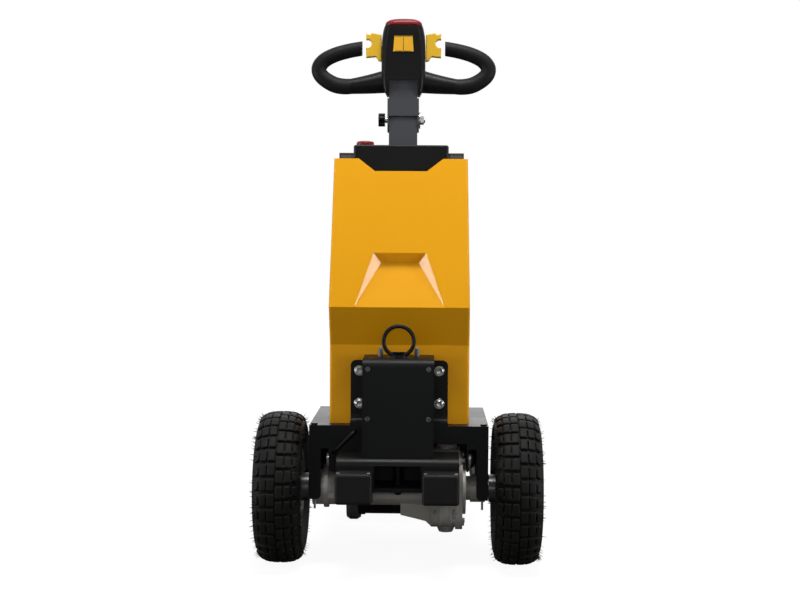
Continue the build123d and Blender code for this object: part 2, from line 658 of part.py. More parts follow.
def tower():
    """Folded tower on the hitch plate: open behind and below, holed for the pin and the guide screws."""
    foot_clear = DECK_TOP + PLATE + HITCH_BEND + SEAT
    profile = [(TOWER_FRONT, BUMPER_TOP), (TOWER_FRONT, TOWER_TOP), (HITCH_PLATE_FRONT, TOWER_TOP),
               (HITCH_PLATE_FRONT, foot_clear), (BEAM_FRONT, foot_clear), (BEAM_FRONT, BUMPER_TOP)]
    outer = side_profile(profile, -TOWER_HALF, TOWER_HALF)
    outer = fillet(edge_near(outer, TOWER_FRONT, TOWER_TOP), TOWER_BEND)
    hollow = block(-TOWER_HALF + TOWER_WALL, TOWER_HALF - TOWER_WALL, TOWER_FRONT + TOWER_WALL, 0,
                   BUMPER_TOP - 1, TOWER_TOP - TOWER_WALL)
    hollow = fillet(edge_near(hollow, TOWER_FRONT, TOWER_TOP), TOWER_BEND - TOWER_WALL)
    box = outer - hollow
    box -= rod_z(PIN_RADIUS + RUNNING, TOWER_TOP - TOWER_WALL - 1, TOWER_TOP + 1, 0, PIN_Y)
    for x in (-TOWER_HOLE_X, TOWER_HOLE_X):
        for z in TOWER_HOLE_ROWS:
            box -= rod_y(TOWER_HOLE_RADIUS, TOWER_FRONT - 1, TOWER_FRONT + TOWER_WALL + 1, x, z)
    return box


def studs():
    return [rod_z(STUD_RADIUS, TOWER_TOP, TOWER_TOP + STUD_HEIGHT, x, STUD_Y) for x in (-STUD_X, STUD_X)]


def bumper():
    """Folded bumper with a shelf for the towed ring, a guide on each side of the mouth, and the pin's holes."""
    outer = side_profile([(BUMPER_FRONT, BUMPER_BOTTOM), (BUMPER_FRONT, BUMPER_TOP), (BEAM_FRONT, BUMPER_TOP),
                          (BEAM_FRONT, BUMPER_BOTTOM)], -BUMPER_HALF, BUMPER_HALF)
    outer = fillet(edge_near(outer, BUMPER_FRONT, BUMPER_TOP), BUMPER_BEND)
    inside = BUMPER_FRONT + PLATE
    ceiling = BUMPER_TOP - PLATE
    hollow = block(-BUMPER_HALF + PLATE, BUMPER_HALF - PLATE, inside, 0, BUMPER_BOTTOM - 1, ceiling)
    hollow = fillet(edge_near(hollow, inside, ceiling), BUMPER_BEND - PLATE)
    shell = outer - hollow
    shelf_low = SHELF_TOP - SHELF_THICK
    shell += block(-BLOCK_INNER - PLATE, BLOCK_INNER + PLATE, inside, BEAM_FRONT, shelf_low, SHELF_TOP)
    for side in (-1, 1):
        guide = block(BLOCK_INNER, BLOCK_INNER + PLATE, inside, BEAM_FRONT, SHELF_TOP, ceiling)
        shell += mirrored(guide, side)
    shell -= block(-MOUTH_HALF, MOUTH_HALF, BUMPER_FRONT - 1, inside, SHELF_TOP, MOUTH_TOP)
    shell -= block(-BLOCK_INNER, BLOCK_INNER, BUMPER_FRONT - 1, inside, BUMPER_BOTTOM - 1, shelf_low)
    return shell - rod_z(PIN_RADIUS + RUNNING, shelf_low - 1, BUMPER_TOP + 1, 0, PIN_Y)


def buffer_block():
    body = block(BLOCK_INNER, BUMPER_HALF, BLOCK_FRONT, BUMPER_FRONT, BUMPER_BOTTOM + 1.5, BLOCK_TOP)
    front = body.faces().sort_by(Axis.Y)[0]
    return fillet(front.edges() + body.edges().filter_by(Axis.Y), BLOCK_ROUND)


def tow_pin():
    ring_z = TOWER_TOP + PIN_COLLAR + RING_RADIUS - 1
    shank = rod_z(PIN_RADIUS, PIN_TIP, TOWER_TOP, 0, PIN_Y)
    shank = chamfer(shank.edges().group_by(Axis.Z)[0], PIN_CHAMFER)
    collar = rod_z(PIN_COLLAR_RADIUS, TOWER_TOP + SEAT, TOWER_TOP + PIN_COLLAR, 0, PIN_Y)
    neck = rod_z(PIN_RADIUS, TOWER_TOP, TOWER_TOP + PIN_COLLAR, 0, PIN_Y)
    ring = Pos(0, PIN_Y, ring_z) * Rot(90, 0, 0) * Torus(RING_RADIUS, RING_BAR)
    return shank + neck + collar + ring


# ---- transaxle
def axle_housing():
    """Axle tube with a flange at the leg, a cone up to the gear case, a joint rib in front and a sump below."""
    end = FRAME_HALF - LEG_WALL
    flange_thick, flange_radius = END_FLANGE
    rib_tall, rib_deep = TUBE_RIB
    tube = rod_x(AXLE_TUBE_RADIUS, -end, GEAR_INNER_X, 0, AXLE_Z)
    tube += rod_x(flange_radius, -end + LEG_WIDTH, -end + LEG_WIDTH + flange_thick, 0, AXLE_Z)
    cone = Pos(0, 0, AXLE_Z) * turned_x([
        (NECK_START_X, 0), (NECK_START_X, AXLE_TUBE_RADIUS), (GEAR_INNER_X - NECK_RING, NECK_RADIUS - 1),
        (GEAR_INNER_X - NECK_RING, NECK_RADIUS), (GEAR_INNER_X, NECK_RADIUS), (GEAR_INNER_X, 0)])
    rib_z = AXLE_Z - AXLE_TUBE_RADIUS / 3
    rib = block(-end + LEG_WIDTH, GEAR_INNER_X, -AXLE_TUBE_RADIUS - rib_deep, 0, rib_z - rib_tall / 2,
                rib_z + rib_tall / 2)
    low = [(x * GEAR_INNER_X / SUMP_OUTLINE[-1][0], z) for x, z in SUMP_OUTLINE]
    top = AXLE_Z - AXLE_TUBE_RADIUS * 0.8
    sump = front_profile(low + [(GEAR_INNER_X, top), (low[0][0], top)], *SUMP_Y)
    bore = rod_x(AXLE_SHAFT_RADIUS + RUNNING, -end - 1, -end + AXLE_SHAFT_DEPTH, 0, AXLE_Z)
    return tube + cone + rib + sump - bore


def gear_case():
    """Cast case: a rounded body with a bolted flange, ribs, filler cap, drain boss and the motor's bell."""
    depth = GEAR_BACK - GEAR_FRONT
    middle = (GEAR_FRONT + GEAR_BACK) / 2

    def slab(x0, x1, grow, top):
        box = block(x0, x1, GEAR_FRONT - grow, GEAR_BACK + grow, GEAR_BOTTOM - grow, top + grow)
        return fillet(box.edges().filter_by(Axis.X), GEAR_CORNER)

    case = slab(GEAR_INNER_X, GEAR_OUTER_X, 0, GEAR_SHOULDER_Z)
    case += slab(GEAR_INNER_X, GEAR_SHOULDER_X, 0, GEAR_TOP)
    case += slab(GEAR_FLANGE_X, GEAR_OUTER_X, GEAR_FLANGE_STEP, GEAR_SHOULDER_Z)
    for x in GEAR_RIB_X:
        case += slab(x, x + GEAR_RIB_THICK, GEAR_RIB_STEP, GEAR_TOP)
    for y, z in GEAR_SCREWS:
        case += rod_x(GEAR_SCREW_BOSS, GEAR_FLANGE_X - 10, GEAR_OUTER_X, y, z)
        case += rod_x(GEAR_SCREW_HEAD, GEAR_OUTER_X - 1, GEAR_OUTER_X + GEAR_SCREW_HEAD, y, z)
    case += rod_x(MOTOR_BELL, GEAR_INNER_X, GEAR_OUTER_X, MOTOR_Y, MOTOR_Z)
    case += rod_z(GEAR_CAP_RADIUS, GEAR_TOP - depth / 5, GEAR_CAP_TOP, GEAR_CAP_X, middle)
    drain = Pos(GEAR_BOSS_X, middle, GEAR_BOSS_BOTTOM) * Cone(
        GEAR_BOSS_RADIUS - GEAR_BOSS_TAPER, GEAR_BOSS_RADIUS, GEAR_BOTTOM - GEAR_BOSS_BOTTOM,
        align=(Align.CENTER, Align.CENTER, Align.MIN))
    return case + drain + rod_z(GEAR_BOSS_RADIUS, GEAR_BOTTOM, GEAR_BOTTOM + depth / 5, GEAR_BOSS_X, middle)


def gear_cover():
    end = FRAME_HALF - LEG_WALL
    body = Pos(0, 0, AXLE_Z) * turned_x([
        (GEAR_OUTER_X, 0), (GEAR_OUTER_X, COVER_RING_RADIUS), (COVER_RING_OUT, COVER_RING_RADIUS),
        (COVER_RING_OUT, STUB_RADIUS), (STUB_COLLAR_X, STUB_RADIUS), (STUB_COLLAR_X, STUB_COLLAR_RADIUS),
        (end, STUB_COLLAR_RADIUS), (end, 0)])
    return body - rod_x(AXLE_SHAFT_RADIUS + RUNNING, end - AXLE_SHAFT_DEPTH, end + 1, 0, AXLE_Z)


def motor():
    """Motor can with stouter end covers and a terminal box, its front cut back round the axle tube."""
    band = MOTOR_RADIUS + MOTOR_BAND
    cover = rod_x(band, MOTOR_LEFT, MOTOR_LEFT + MOTOR_END_COVER, MOTOR_Y, MOTOR_Z)
    cover = fillet(cover.edges().group_by(Axis.X)[0], MOTOR_END_ROUND)
    can = rod_x(MOTOR_RADIUS, MOTOR_LEFT + 1, GEAR_INNER_X, MOTOR_Y, MOTOR_Z) + cover
    can += rod_x(band, GEAR_INNER_X - MOTOR_END_COVER, GEAR_INNER_X, MOTOR_Y, MOTOR_Z)
    wide, deep, proud = MOTOR_BOX
    box_left = MOTOR_LEFT + 2 * MOTOR_END_COVER
    top = MOTOR_Z + MOTOR_RADIUS + proud
    box = block(box_left, box_left + wide, MOTOR_Y - deep / 2, MOTOR_Y + deep / 2, MOTOR_Z, top)
    can += fillet(box.edges().filter_by(Axis.Z), MOTOR_END_ROUND)
    return can - rod_x(NECK_RADIUS + 1, MOTOR_LEFT - 1, GEAR_INNER_X + 1, 0, AXLE_Z)


# ---- body
def polyhedron(corners, faces):
    made = [Face(Wire.make_polygon([corners[i] for i in loop], close=True)) for loop in faces]
    return Solid(Shell(made))


def meeting_point(planes):
    """The point that three planes share, each given as its normal and its offset from the origin."""
    (a, i), (b, j), (c, k) = planes
    return (b.cross(c) * i + c.cross(a) * j + a.cross(b) * k) * (1 / a.dot(b.cross(c)))


def recess_wedge(grow):
    """The sunk panel's cutter, each wall moved outwards by grow: floor, top wall and two side walls."""
    lean = (COVER_TOP_Y - NOSE_Y) / (COVER_TOP - NOSE_Z)
    top_y = NOSE_Y + (RECESS_TOP_Z - NOSE_Z) * lean
    floor_r = Vector(RECESS_FLOOR_HALF, RECESS_FLOOR_Y, RECESS_FLOOR_Z)
    nose_r = Vector(RECESS_NOSE_HALF, NOSE_Y, NOSE_Z)
    top_r = Vector(RECESS_TOP_HALF, top_y, RECESS_TOP_Z)
    floor_l, nose_l, top_l = [Vector(-p.X, p.Y, p.Z) for p in (floor_r, nose_r, top_r)]
    middle = (floor_r + nose_r + top_r + floor_l + nose_l + top_l) * (1 / 6)

    def wall(p, q, r, moved):
        normal = (q - p).cross(r - p).normalized()
        if normal.dot(middle - p) > 0:
            normal = normal * -1
        return normal, normal.dot(p) + moved

    bottom = wall(floor_r, nose_r, nose_l, grow)
    top = wall(floor_r, top_r, top_l, grow)
    right = wall(floor_r, nose_r, top_r, grow)
    left = wall(floor_l, nose_l, top_l, grow)
    opening = wall(nose_r, top_r, top_l, 4 * COVER_WALL)
    corners = []
    for side_wall in (left, right):
        corners += [meeting_point((bottom, top, side_wall)), meeting_point((bottom, opening, side_wall)),
                    meeting_point((top, opening, side_wall))]
    faces = [(0, 1, 4, 3), (0, 3, 5, 2), (1, 2, 5, 4), (0, 2, 1), (3, 4, 5)]
    return polyhedron(corners, faces)


def cover_form(inset, below, behind, bend):
    """The cover's outer form, or its inside with every wall moved in by inset and two sides left open."""
    low = DECK_TOP - below
    back = COVER_BACK + behind
    side = make_face(Polyline((0, COVER_FACE_Y, low), (0, COVER_FACE_Y, COVER_FOLD_Z), (0, NOSE_Y, NOSE_Z),
                              (0, COVER_TOP_Y, COVER_TOP), (0, back, COVER_TOP), (0, back, low), close=True))
    right = [(COVER_HALF, 0, low), (COVER_HALF, 0, COVER_FOLD_Z), (COVER_TOP_HALF, 0, COVER_TOP)]
    left = [(-x, y, z) for x, y, z in reversed(right)]
    front = make_face(Polyline(*right, *left, close=True))
    if inset:
        side = offset(side, amount=-inset, kind=Kind.INTERSECTION)
        front = offset(front, amount=-inset, kind=Kind.INTERSECTION)
    form = extrude(side, 2 * COVER_HALF, both=True, dir=(1, 0, 0)) & extrude(
        front, 2 * COVER_BACK, both=True, dir=(0, 1, 0))
    # Every edge between the bent front and a side wall gets the sheet's bend radius.
    ahead = [e for e in form.edges() if e.center().Y < COVER_BACK / 2 and abs(e.center().X) > COVER_TOP_HALF / 2
             and e.bounding_box().size.Z > 1]
    return fillet(ahead, bend)


def cover():
    """Folded cover: front, sides and top with a sunk panel, notched for the console, open behind and below."""
    outer = cover_form(0, 0, 0, COVER_ROUND) - recess_wedge(0)
    inner = cover_form(COVER_WALL, COVER_SPARE, COVER_SPARE, COVER_ROUND - COVER_WALL)
    inner -= recess_wedge(COVER_WALL)
    shell = outer - inner
    high = COVER_TOP + 1
    notch = front_profile([(-NOTCH_TOP_HALF, high), (-NOTCH_HALF, NOTCH_BOTTOM), (NOTCH_HALF, NOTCH_BOTTOM),
                           (NOTCH_TOP_HALF, high)], NOSE_Y, CONSOLE_FRONT + 2 * COVER_ROUND)
    low = COVER_TOP - 2 * COVER_ROUND
    console_half = CONSOLE_HALF + COVER_GAP
    housing_half = HOUSING_HALF + COVER_GAP
    opening = block(-console_half, console_half, CONSOLE_FRONT - COVER_GAP, COVER_BACK + 1, low, high)
    behind = block(-housing_half, housing_half, HOUSING_FRONT - COVER_GAP, COVER_BACK + 1, low, high)
    return shell - notch - opening - behind


def housing():
    """Grey rear housing: a hollow box, open at the front and below, with rounded rear corners."""
    def form(inset, front, low):
        half = HOUSING_HALF - inset
        box = block(-half, half, front, HOUSING_BACK - inset, low, HOUSING_TOP - inset)
        rear = box.edges().filter_by(Axis.Z).group_by(Axis.Y)[-1]
        return fillet(rear, HOUSING_ROUND - inset)

    shell = form(0, HOUSING_FRONT, DECK_TOP) - form(HOUSING_WALL, HOUSING_FRONT - 1, DECK_TOP - 1)
    console = block(-CONSOLE_HALF - SEAT, CONSOLE_HALF + SEAT, HOUSING_FRONT - 1, CONSOLE_BACK + SEAT,
                    HOUSING_TOP - HOUSING_WALL - 1, HOUSING_TOP + 1)
    return shell - console


def console():
    """Moulded console lid: a hollow shell open below, its top sloping down to the rear."""
    def form(inset, low):
        top = [(CONSOLE_FRONT + inset, CONSOLE_TOP - inset), (CONSOLE_BACK - inset, CONSOLE_BACK_TOP - inset)]
        outline = [(CONSOLE_FRONT + inset, low)] + top + [(CONSOLE_BACK - inset, low)]
        body = side_profile(outline, -CONSOLE_HALF + inset, CONSOLE_HALF - inset)
        upright = body.edges().filter_by(Axis.Z)
        body = fillet(upright, 2 * CONSOLE_ROUND - inset)
        return fillet(body.faces().sort_by(Axis.Z)[-1].edges(), CONSOLE_ROUND - inset)

    return form(0, CONSOLE_BOTTOM) - form(CONSOLE_WALL, CONSOLE_BOTTOM - 1)


def console_top_at(y):
    share = (y - CONSOLE_FRONT) / (CONSOLE_BACK - CONSOLE_FRONT)
    return CONSOLE_TOP + (CONSOLE_BACK_TOP - CONSOLE_TOP) * share


def stop_button():
    """Mushroom button: a collar under a wider cap with a rounded edge."""
    seat = console_top_at(STOP_Y) + 4 * SEAT
    outline = [(0, 0, seat), (STOP_RADIUS - STOP_COLLAR_IN, 0, seat)]
    outline += [(STOP_RADIUS - less, 0, STOP_TOP - depth) for less, depth in STOP_SHAPE]
    face = make_face(Polyline(*outline, (0, 0, STOP_TOP), close=True))
    return Pos(STOP_X, STOP_Y, 0) * revolve(face, Axis.Z)


def key_switch():
    """Round switch with its key standing in it."""
    seat = console_top_at(KEY_Y) + 1.0
    thin, wide, tall = KEY_BOW
    barrel = rod_z(KEY_RADIUS, seat, seat + KEY_BARREL, KEY_X, KEY_Y)
    return barrel + block(KEY_X - thin, KEY_X + thin, KEY_Y - wide, KEY_Y + wide, seat + KEY_BARREL,
                          seat + KEY_BARREL + tall)


def battery():
    deep = BATTERY_DEPTH / 2
    top = DECK_TOP + BATTERY_HEIGHT
    return block(-BATTERY_HALF, BATTERY_HALF, BATTERY_Y - deep, BATTERY_Y + deep, DECK_TOP, top)


# ---- tiller
def post():
    """Hollow upright post with a foot plate, closed and rounded at the pivot."""
    half = POST_WIDTH / 2
    deep = POST_DEPTH / 2
    foot_wide, foot_thick = POST_FOOT
    bar = block(-half, half, POST_Y - deep, POST_Y + deep, DECK_TOP, PIVOT_Z)
    bar += rod_x(deep, -half, half, POST_Y, PIVOT_Z)
    hollow = block(-half + POST_WALL, half - POST_WALL, POST_Y - deep + POST_WALL, POST_Y + deep - POST_WALL,
                   DECK_TOP - 1, PIVOT_Z - POST_DEPTH)
    foot = block(-foot_wide / 2, foot_wide / 2, POST_Y - deep, DECK_REAR, DECK_TOP, DECK_TOP + foot_thick)
    bore = rod_x(PIVOT_BOLT_RADIUS + SEAT, -half - 1, half + 1, POST_Y, PIVOT_Z)
    return bar + foot - hollow - bore


def sleeve():
    """Channel round the post: a front web and two rounded ears on the pivot bolt."""
    inner = POST_WIDTH / 2 + SEAT
    outer = inner + SLEEVE_WALL
    front = POST_Y - POST_DEPTH / 2 - SEAT - SLEEVE_WALL
    deep = POST_Y - front
    ear_z = EAR_BOTTOM + deep
    ears = block(-outer, outer, front, POST_Y + deep, ear_z, SLEEVE_TOP)
    ears += rod_x(deep, -outer, outer, POST_Y, ear_z)
    channel = block(-inner, inner, front + SLEEVE_WALL, POST_Y + deep + 1, EAR_BOTTOM - 1, SLEEVE_TOP + 1)
    below_web = block(-inner, inner, front - 1, POST_Y + deep + 1, EAR_BOTTOM - 1, WEB_BOTTOM)
    bore = rod_x(PIVOT_BOLT_RADIUS + RUNNING, -outer - 1, outer + 1, POST_Y, PIVOT_Z)
    return ears - channel - below_web - bore


def pivot_bolt():
    outer = POST_WIDTH / 2 + SEAT + SLEEVE_WALL
    start = outer + SEAT
    shank = rod_x(PIVOT_BOLT_RADIUS, -KNOB_INNER, start + PIVOT_BOLT_END, POST_Y, PIVOT_Z)
    washer = rod_x(WASHER_RADIUS, start, start + WASHER_THICK, POST_Y, PIVOT_Z)
    nut_start = start + WASHER_THICK
    return shank + washer + hexagon_x(NUT_RADIUS, nut_start, nut_start + NUT_HEIGHT, POST_Y, PIVOT_Z)


def clamp_knob():
    """Star knob: a core with a ring of lobes about the pivot."""
    body = rod_x(KNOB_RADIUS - KNOB_LOBE, -KNOB_OUTER, -KNOB_INNER, 0, 0)
    lobe = rod_x(KNOB_LOBE, -KNOB_OUTER, -KNOB_INNER, 0, 0)
    return Pos(0, POST_Y, PIVOT_Z) * (body + around(KNOB_LOBES, KNOB_RADIUS - KNOB_LOBE, lobe))


def tube():
    half = POST_WIDTH / 2
    deep = POST_DEPTH / 2
    outer = block(-half, half, POST_Y - deep, POST_Y + deep, TUBE_BOTTOM, TUBE_TOP)
    inner_half = half - POST_WALL
    inner_deep = deep - POST_WALL
    return outer - block(-inner_half, inner_half, POST_Y - inner_deep, POST_Y + inner_deep, TUBE_BOTTOM - 1,
                         TUBE_TOP + 1)


def arm():
    """Tapering arm of the head on the right: an ellipse at the head, a circle where the grip starts."""
    def section(x, z, lean, deep, tall):
        place = Plane(origin=(x, POST_Y, z), x_dir=(0, 1, 0), z_dir=(1, 0, -lean))
        return place * Ellipse(deep, tall)

    return loft([section(x, ARM_Z - drop, lean, deep, tall) for x, drop, lean, deep, tall in ARM_SECTIONS])


def head():
    """Moulded head: a body lofted through rounded rectangles, two arms, and cheeks either side of the shaft."""
    sections = [Plane(origin=(0, POST_Y, z)) * RectangleRounded(2 * half, 2 * deep, round_off)
                for z, half, deep, round_off in HEAD_SECTIONS]
    body = loft(sections)
    low = HEAD_SECTIONS[0][0]
    half_low, deep_low = HEAD_SECTIONS[0][1:3]
    cheeks = front_profile([(-HEAD_CHEEK_HALF, HEAD_CHEEK_BOTTOM), (HEAD_CHEEK_HALF, HEAD_CHEEK_BOTTOM),
                            (half_low - 1, low + 1), (-half_low + 1, low + 1)],
                           POST_Y - deep_low + 3, POST_Y + deep_low - 3)
    body += cheeks
    for side in (-1, 1):
        body += mirrored(arm(), side)
    half = POST_WIDTH / 2 + SEAT
    deep = POST_DEPTH / 2 + SEAT
    body -= block(-half, half, POST_Y - deep, POST_Y + deep, HEAD_CHEEK_BOTTOM - 1, TUBE_TOP + SEAT)
    body -= block(-half, half, POST_Y - HEAD_DEPTH, POST_Y + HEAD_DEPTH, HEAD_CHEEK_BOTTOM - 1, HEAD_BOTTOM)
    return body


def grip():
    """Round grip along the loop, cut off upright beside the paddle."""
    first = (ARM_END_X + SEAT, ARM_Z - ARM_END_DROP)
    points = [first] + [(x, z) for x, z, r in GRIP_CORNERS] + [GRIP_END]
    path = FilletPolyline(*[(x, POST_Y, z) for x, z in points], radius=[r for x, z, r in GRIP_CORNERS])
    start = Plane(origin=path @ 0, z_dir=path % 0)
    bar = sweep(start * Circle(GRIP_RADIUS), path=path)
    past_cut = block(0, GRIP_CUT_X, POST_Y - HEAD_DEPTH, POST_Y + HEAD_DEPTH, PADDLE_LOW, HEAD_TOP)
    return bar - past_cut


def paddle():
    """Speed paddle: a wing with a round notch in its outer edge and a swept lower edge."""
    inner = HEAD_HALF + SEAT
    deep = PADDLE_DEPTH / 2
    outline = [(inner + out, PADDLE_LOW + up) for out, up in PADDLE_OUTLINE]
    wing = front_profile(outline, POST_Y - deep, POST_Y + deep)
    notch_x, notch_z, notch_radius = PADDLE_NOTCH
    wing -= rod_y(notch_radius, POST_Y - PADDLE_DEPTH, POST_Y + PADDLE_DEPTH, notch_x, notch_z)
    faces = wing.faces().filter_by(Axis.Y)
    return fillet(faces[0].edges() + faces[1].edges(), PADDLE_ROUND)


def belly_button():
    """Red safety button on top of the head, rounded at its corners and all round its top."""
    seat = HEAD_TOP + SEAT
    deep = BUTTON_DEPTH / 2
    body = block(-BUTTON_HALF, BUTTON_HALF, POST_Y - deep, POST_Y + deep, seat, BUTTON_TOP)
    body = fillet(body.edges().filter_by(Axis.Z), BUTTON_CORNER)
    return fillet(body.edges().group_by(Axis.Z)[-1], BUTTON_ROUND)


def label_plate():
    low, high = LABEL_Z
    front = POST_Y - HEAD_DEPTH / 2 - SEAT
    outline = [(-LABEL_LOW_HALF, low), (LABEL_LOW_HALF, low), (LABEL_TOP_HALF, high), (-LABEL_TOP_HALF, high)]
    return front_profile(outline, front - LABEL_THICK, front)


# ---- every piece, one file each
for name, side in SIDES:
    save(f"tyre_{name}", mirrored(tyre(), side))
    save(f"rim_{name}", mirrored(rim(), side))
    save(f"hub_{name}", mirrored(hub(), side))
    save(f"grip_{name}", mirrored(grip(), side))
    save(f"paddle_{name}", mirrored(paddle(), side))
    place = Pos(side * CASTER_X, CASTER_PIVOT_Y, 0)
    save(f"caster_fork_{name}", place * caster_fork())
    save(f"caster_wheel_{name}", place * caster_wheel())

save("front_beam", front_beam())
save("legs", pair(leg()))
save("rails", pair(rail()))
caster_places = [Pos(side * CASTER_X, CASTER_PIVOT_Y, 0) for name, side in SIDES]
save("caster_tops", Compound(children=[place * caster_top() for place in caster_places]))
save("leg_bolts", Compound(children=leg_bolts()))
save("cable_grommets", Compound(children=grommets()))
save("motor_cable", cable())
save("beam_caps", pair(domed_cap()))
save("rear_deck", rear_deck())
save("caster_plate", caster_plate())
save("hitch_plate", hitch_plate())
save("plate_bolts", Compound(children=plate_bolts()))
save("hitch_tower", tower())
save("hitch_studs", Compound(children=studs()))
save("hitch_bumper", bumper())
save("buffer_blocks", pair(buffer_block()))
save("tow_pin", tow_pin())
save("axle_housing", axle_housing())
save("gear_case", gear_case())
save("gear_cover", gear_cover())
save("drive_motor", motor())
save("body_cover", cover())
save("rear_housing", housing())
save("console", console())
save("stop_button", stop_button())
save("key_switch", key_switch())
save("battery_pack", battery())
save("tiller_post", post())
save("tiller_sleeve", sleeve())
save("pivot_bolt", pivot_bolt())
save("clamp_knob", clamp_knob())
save("tiller_tube", tube())
save("tiller_head", head())
save("belly_button", belly_button())
save("label_plate", label_plate())
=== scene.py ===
# %% [markdown]
# # A walk-behind tow tug
# This lesson dresses a finished CAD model of a small electric tow tug: two air-filled drive tyres, a folded
# yellow cover, a pin hitch with rubber buffers, and an upright loop tiller. The CAD model is loaded as a
# fixed frame. Steel plates and castings keep their CAD shape and get a finish. The tyres, the grips, the
# cover and some screws and trim are replaced by finer surfaces, or get small parts that the CAD leaves out.

# %% Load the frame
import json
import math

import bmesh
import bpy
import numpy as np
from mathutils import Matrix, Vector


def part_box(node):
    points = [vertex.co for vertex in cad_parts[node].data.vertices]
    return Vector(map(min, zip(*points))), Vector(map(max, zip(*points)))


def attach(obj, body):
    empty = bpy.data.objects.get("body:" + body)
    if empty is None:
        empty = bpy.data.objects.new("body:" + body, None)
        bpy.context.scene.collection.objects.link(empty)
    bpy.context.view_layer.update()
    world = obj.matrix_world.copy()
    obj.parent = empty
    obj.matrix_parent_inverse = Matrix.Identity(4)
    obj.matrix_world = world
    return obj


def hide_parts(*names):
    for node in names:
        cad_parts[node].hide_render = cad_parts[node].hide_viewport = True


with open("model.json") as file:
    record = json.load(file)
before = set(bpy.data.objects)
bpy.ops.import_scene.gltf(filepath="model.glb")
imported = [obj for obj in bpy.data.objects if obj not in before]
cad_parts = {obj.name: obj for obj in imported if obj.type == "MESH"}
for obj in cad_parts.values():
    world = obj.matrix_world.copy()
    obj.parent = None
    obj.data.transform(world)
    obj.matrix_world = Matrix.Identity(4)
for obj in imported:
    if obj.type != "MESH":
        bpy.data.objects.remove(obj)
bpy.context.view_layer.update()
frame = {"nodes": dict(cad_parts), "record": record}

NODES = frame["nodes"]
MM = 0.001


# %% [markdown]
# ## Tools for surfaces
# A surface is worked out as an array of points on a grid, row by row, and a second array says which four
# points make each face. Whole arrays are quicker than loops, and they show the form as a formula. Doubled
# points, at a seam or a pole, are merged afterwards, and the faces of each closed shell are turned
# outwards.

# %% Mesh helpers
def grid_faces(rows, columns, wrap_rows=False, wrap_columns=False):
    """Four corners for each cell of a grid of points; a wrapped side joins the last line to the first."""
    i = np.arange(rows if wrap_rows else rows - 1)[:, None]
    j = np.arange(columns if wrap_columns else columns - 1)[None, :]
    i2, j2 = (i + 1) % rows, (j + 1) % columns
    corners = [i * columns + j, i * columns + j2, i2 * columns + j2, i2 * columns + j]
    return np.stack(corners, -1).reshape(-1, 4)


def piece(name, points, faces, body, slot, material, smooth=True):
    """A mesh in metres, in its real place, that rides on a body; its slot argument is not used."""
    mesh = bpy.data.meshes.new(name)
    faces = faces.tolist() if isinstance(faces, np.ndarray) else faces
    mesh.from_pydata(np.asarray(points, float).reshape(-1, 3).tolist(), [], faces)
    shell = bmesh.new()
    shell.from_mesh(mesh)
    bmesh.ops.remove_doubles(shell, verts=shell.verts, dist=1e-6)
    bmesh.ops.recalc_face_normals(shell, faces=shell.faces)
    shell.to_mesh(mesh)
    shell.free()
    mesh.polygons.foreach_set("use_smooth", np.full(len(mesh.polygons), smooth))
    made = bpy.data.objects.new(name, mesh)
    bpy.context.scene.collection.objects.link(made)
    made.data.materials.append(material)
    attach(made, body)
    return made


def smooth_by_angle(made, degrees=35):
    """Shades round faces smoothly and keeps the edges sharper than an angle."""
    made.data.set_sharp_from_angle(angle=math.radians(degrees))
    return made


def turned(profile, centre, steps, closed=False):
    """A profile of (x, radius) points turned about a line along X through centre."""
    profile = np.asarray(profile, float)
    angle = np.linspace(0, 2 * np.pi, steps, endpoint=False)[:, None]
    x = np.broadcast_to(profile[:, 0], (steps, len(profile)))
    y = profile[:, 1] * np.cos(angle)
    z = profile[:, 1] * np.sin(angle)
    return np.stack([x, y, z], -1) + np.asarray(centre, float), grid_faces(steps, len(profile), True, closed)


def repeated(shapes, faces):
    """Many shapes of the same build in one mesh: each one's faces are moved up past the points before it."""
    shapes = np.asarray(shapes)
    start = np.arange(len(shapes))[:, None, None] * shapes.shape[1]
    lists = [(np.asarray(block)[None] + start).reshape(-1, np.shape(block)[1]).tolist() for block in faces]
    return shapes.reshape(-1, 3), sum(lists, [])


# %% [markdown]
# ## Camera
# The machine is seen from its hitch side, nearly straight on, from about three metres with a long lens. A
# long lens keeps the upright lines almost parallel. The camera's three axes are worked out from its turn,
# its tip and its slight roll, and then written into its matrix.

# %% Camera
CAMERA_PLACE = Vector((0.0628, -3.150, 0.720))
CAMERA_TURN, CAMERA_TIP, CAMERA_ROLL = (math.radians(a) for a in (1.2, 3.0, 0.35))
LENS = 62.8


def camera_axes(turn, tip, roll):
    """Right, up and back directions of a camera that looks along +Y, turned left, tipped down and rolled."""
    ahead = Vector((-math.sin(turn) * math.cos(tip), math.cos(turn) * math.cos(tip), -math.sin(tip)))
    right = Vector((math.cos(turn), math.sin(turn), 0))
    up = right.cross(ahead)
    rolled_right = right * math.cos(roll) + up * math.sin(roll)
    rolled_up = up * math.cos(roll) - right * math.sin(roll)
    return rolled_right, rolled_up, -ahead


camera = bpy.data.objects.new("camera", bpy.data.cameras.new("camera"))
bpy.context.scene.collection.objects.link(camera)
axes = camera_axes(CAMERA_TURN, CAMERA_TIP, CAMERA_ROLL)
camera.matrix_world = Matrix.Translation(CAMERA_PLACE) @ Matrix(axes).transposed().to_4x4()
camera.data.lens = LENS
camera.data.sensor_width = 36.0
bpy.context.scene.camera = camera
print("camera at", tuple(round(v, 3) for v in CAMERA_PLACE), "lens", LENS)


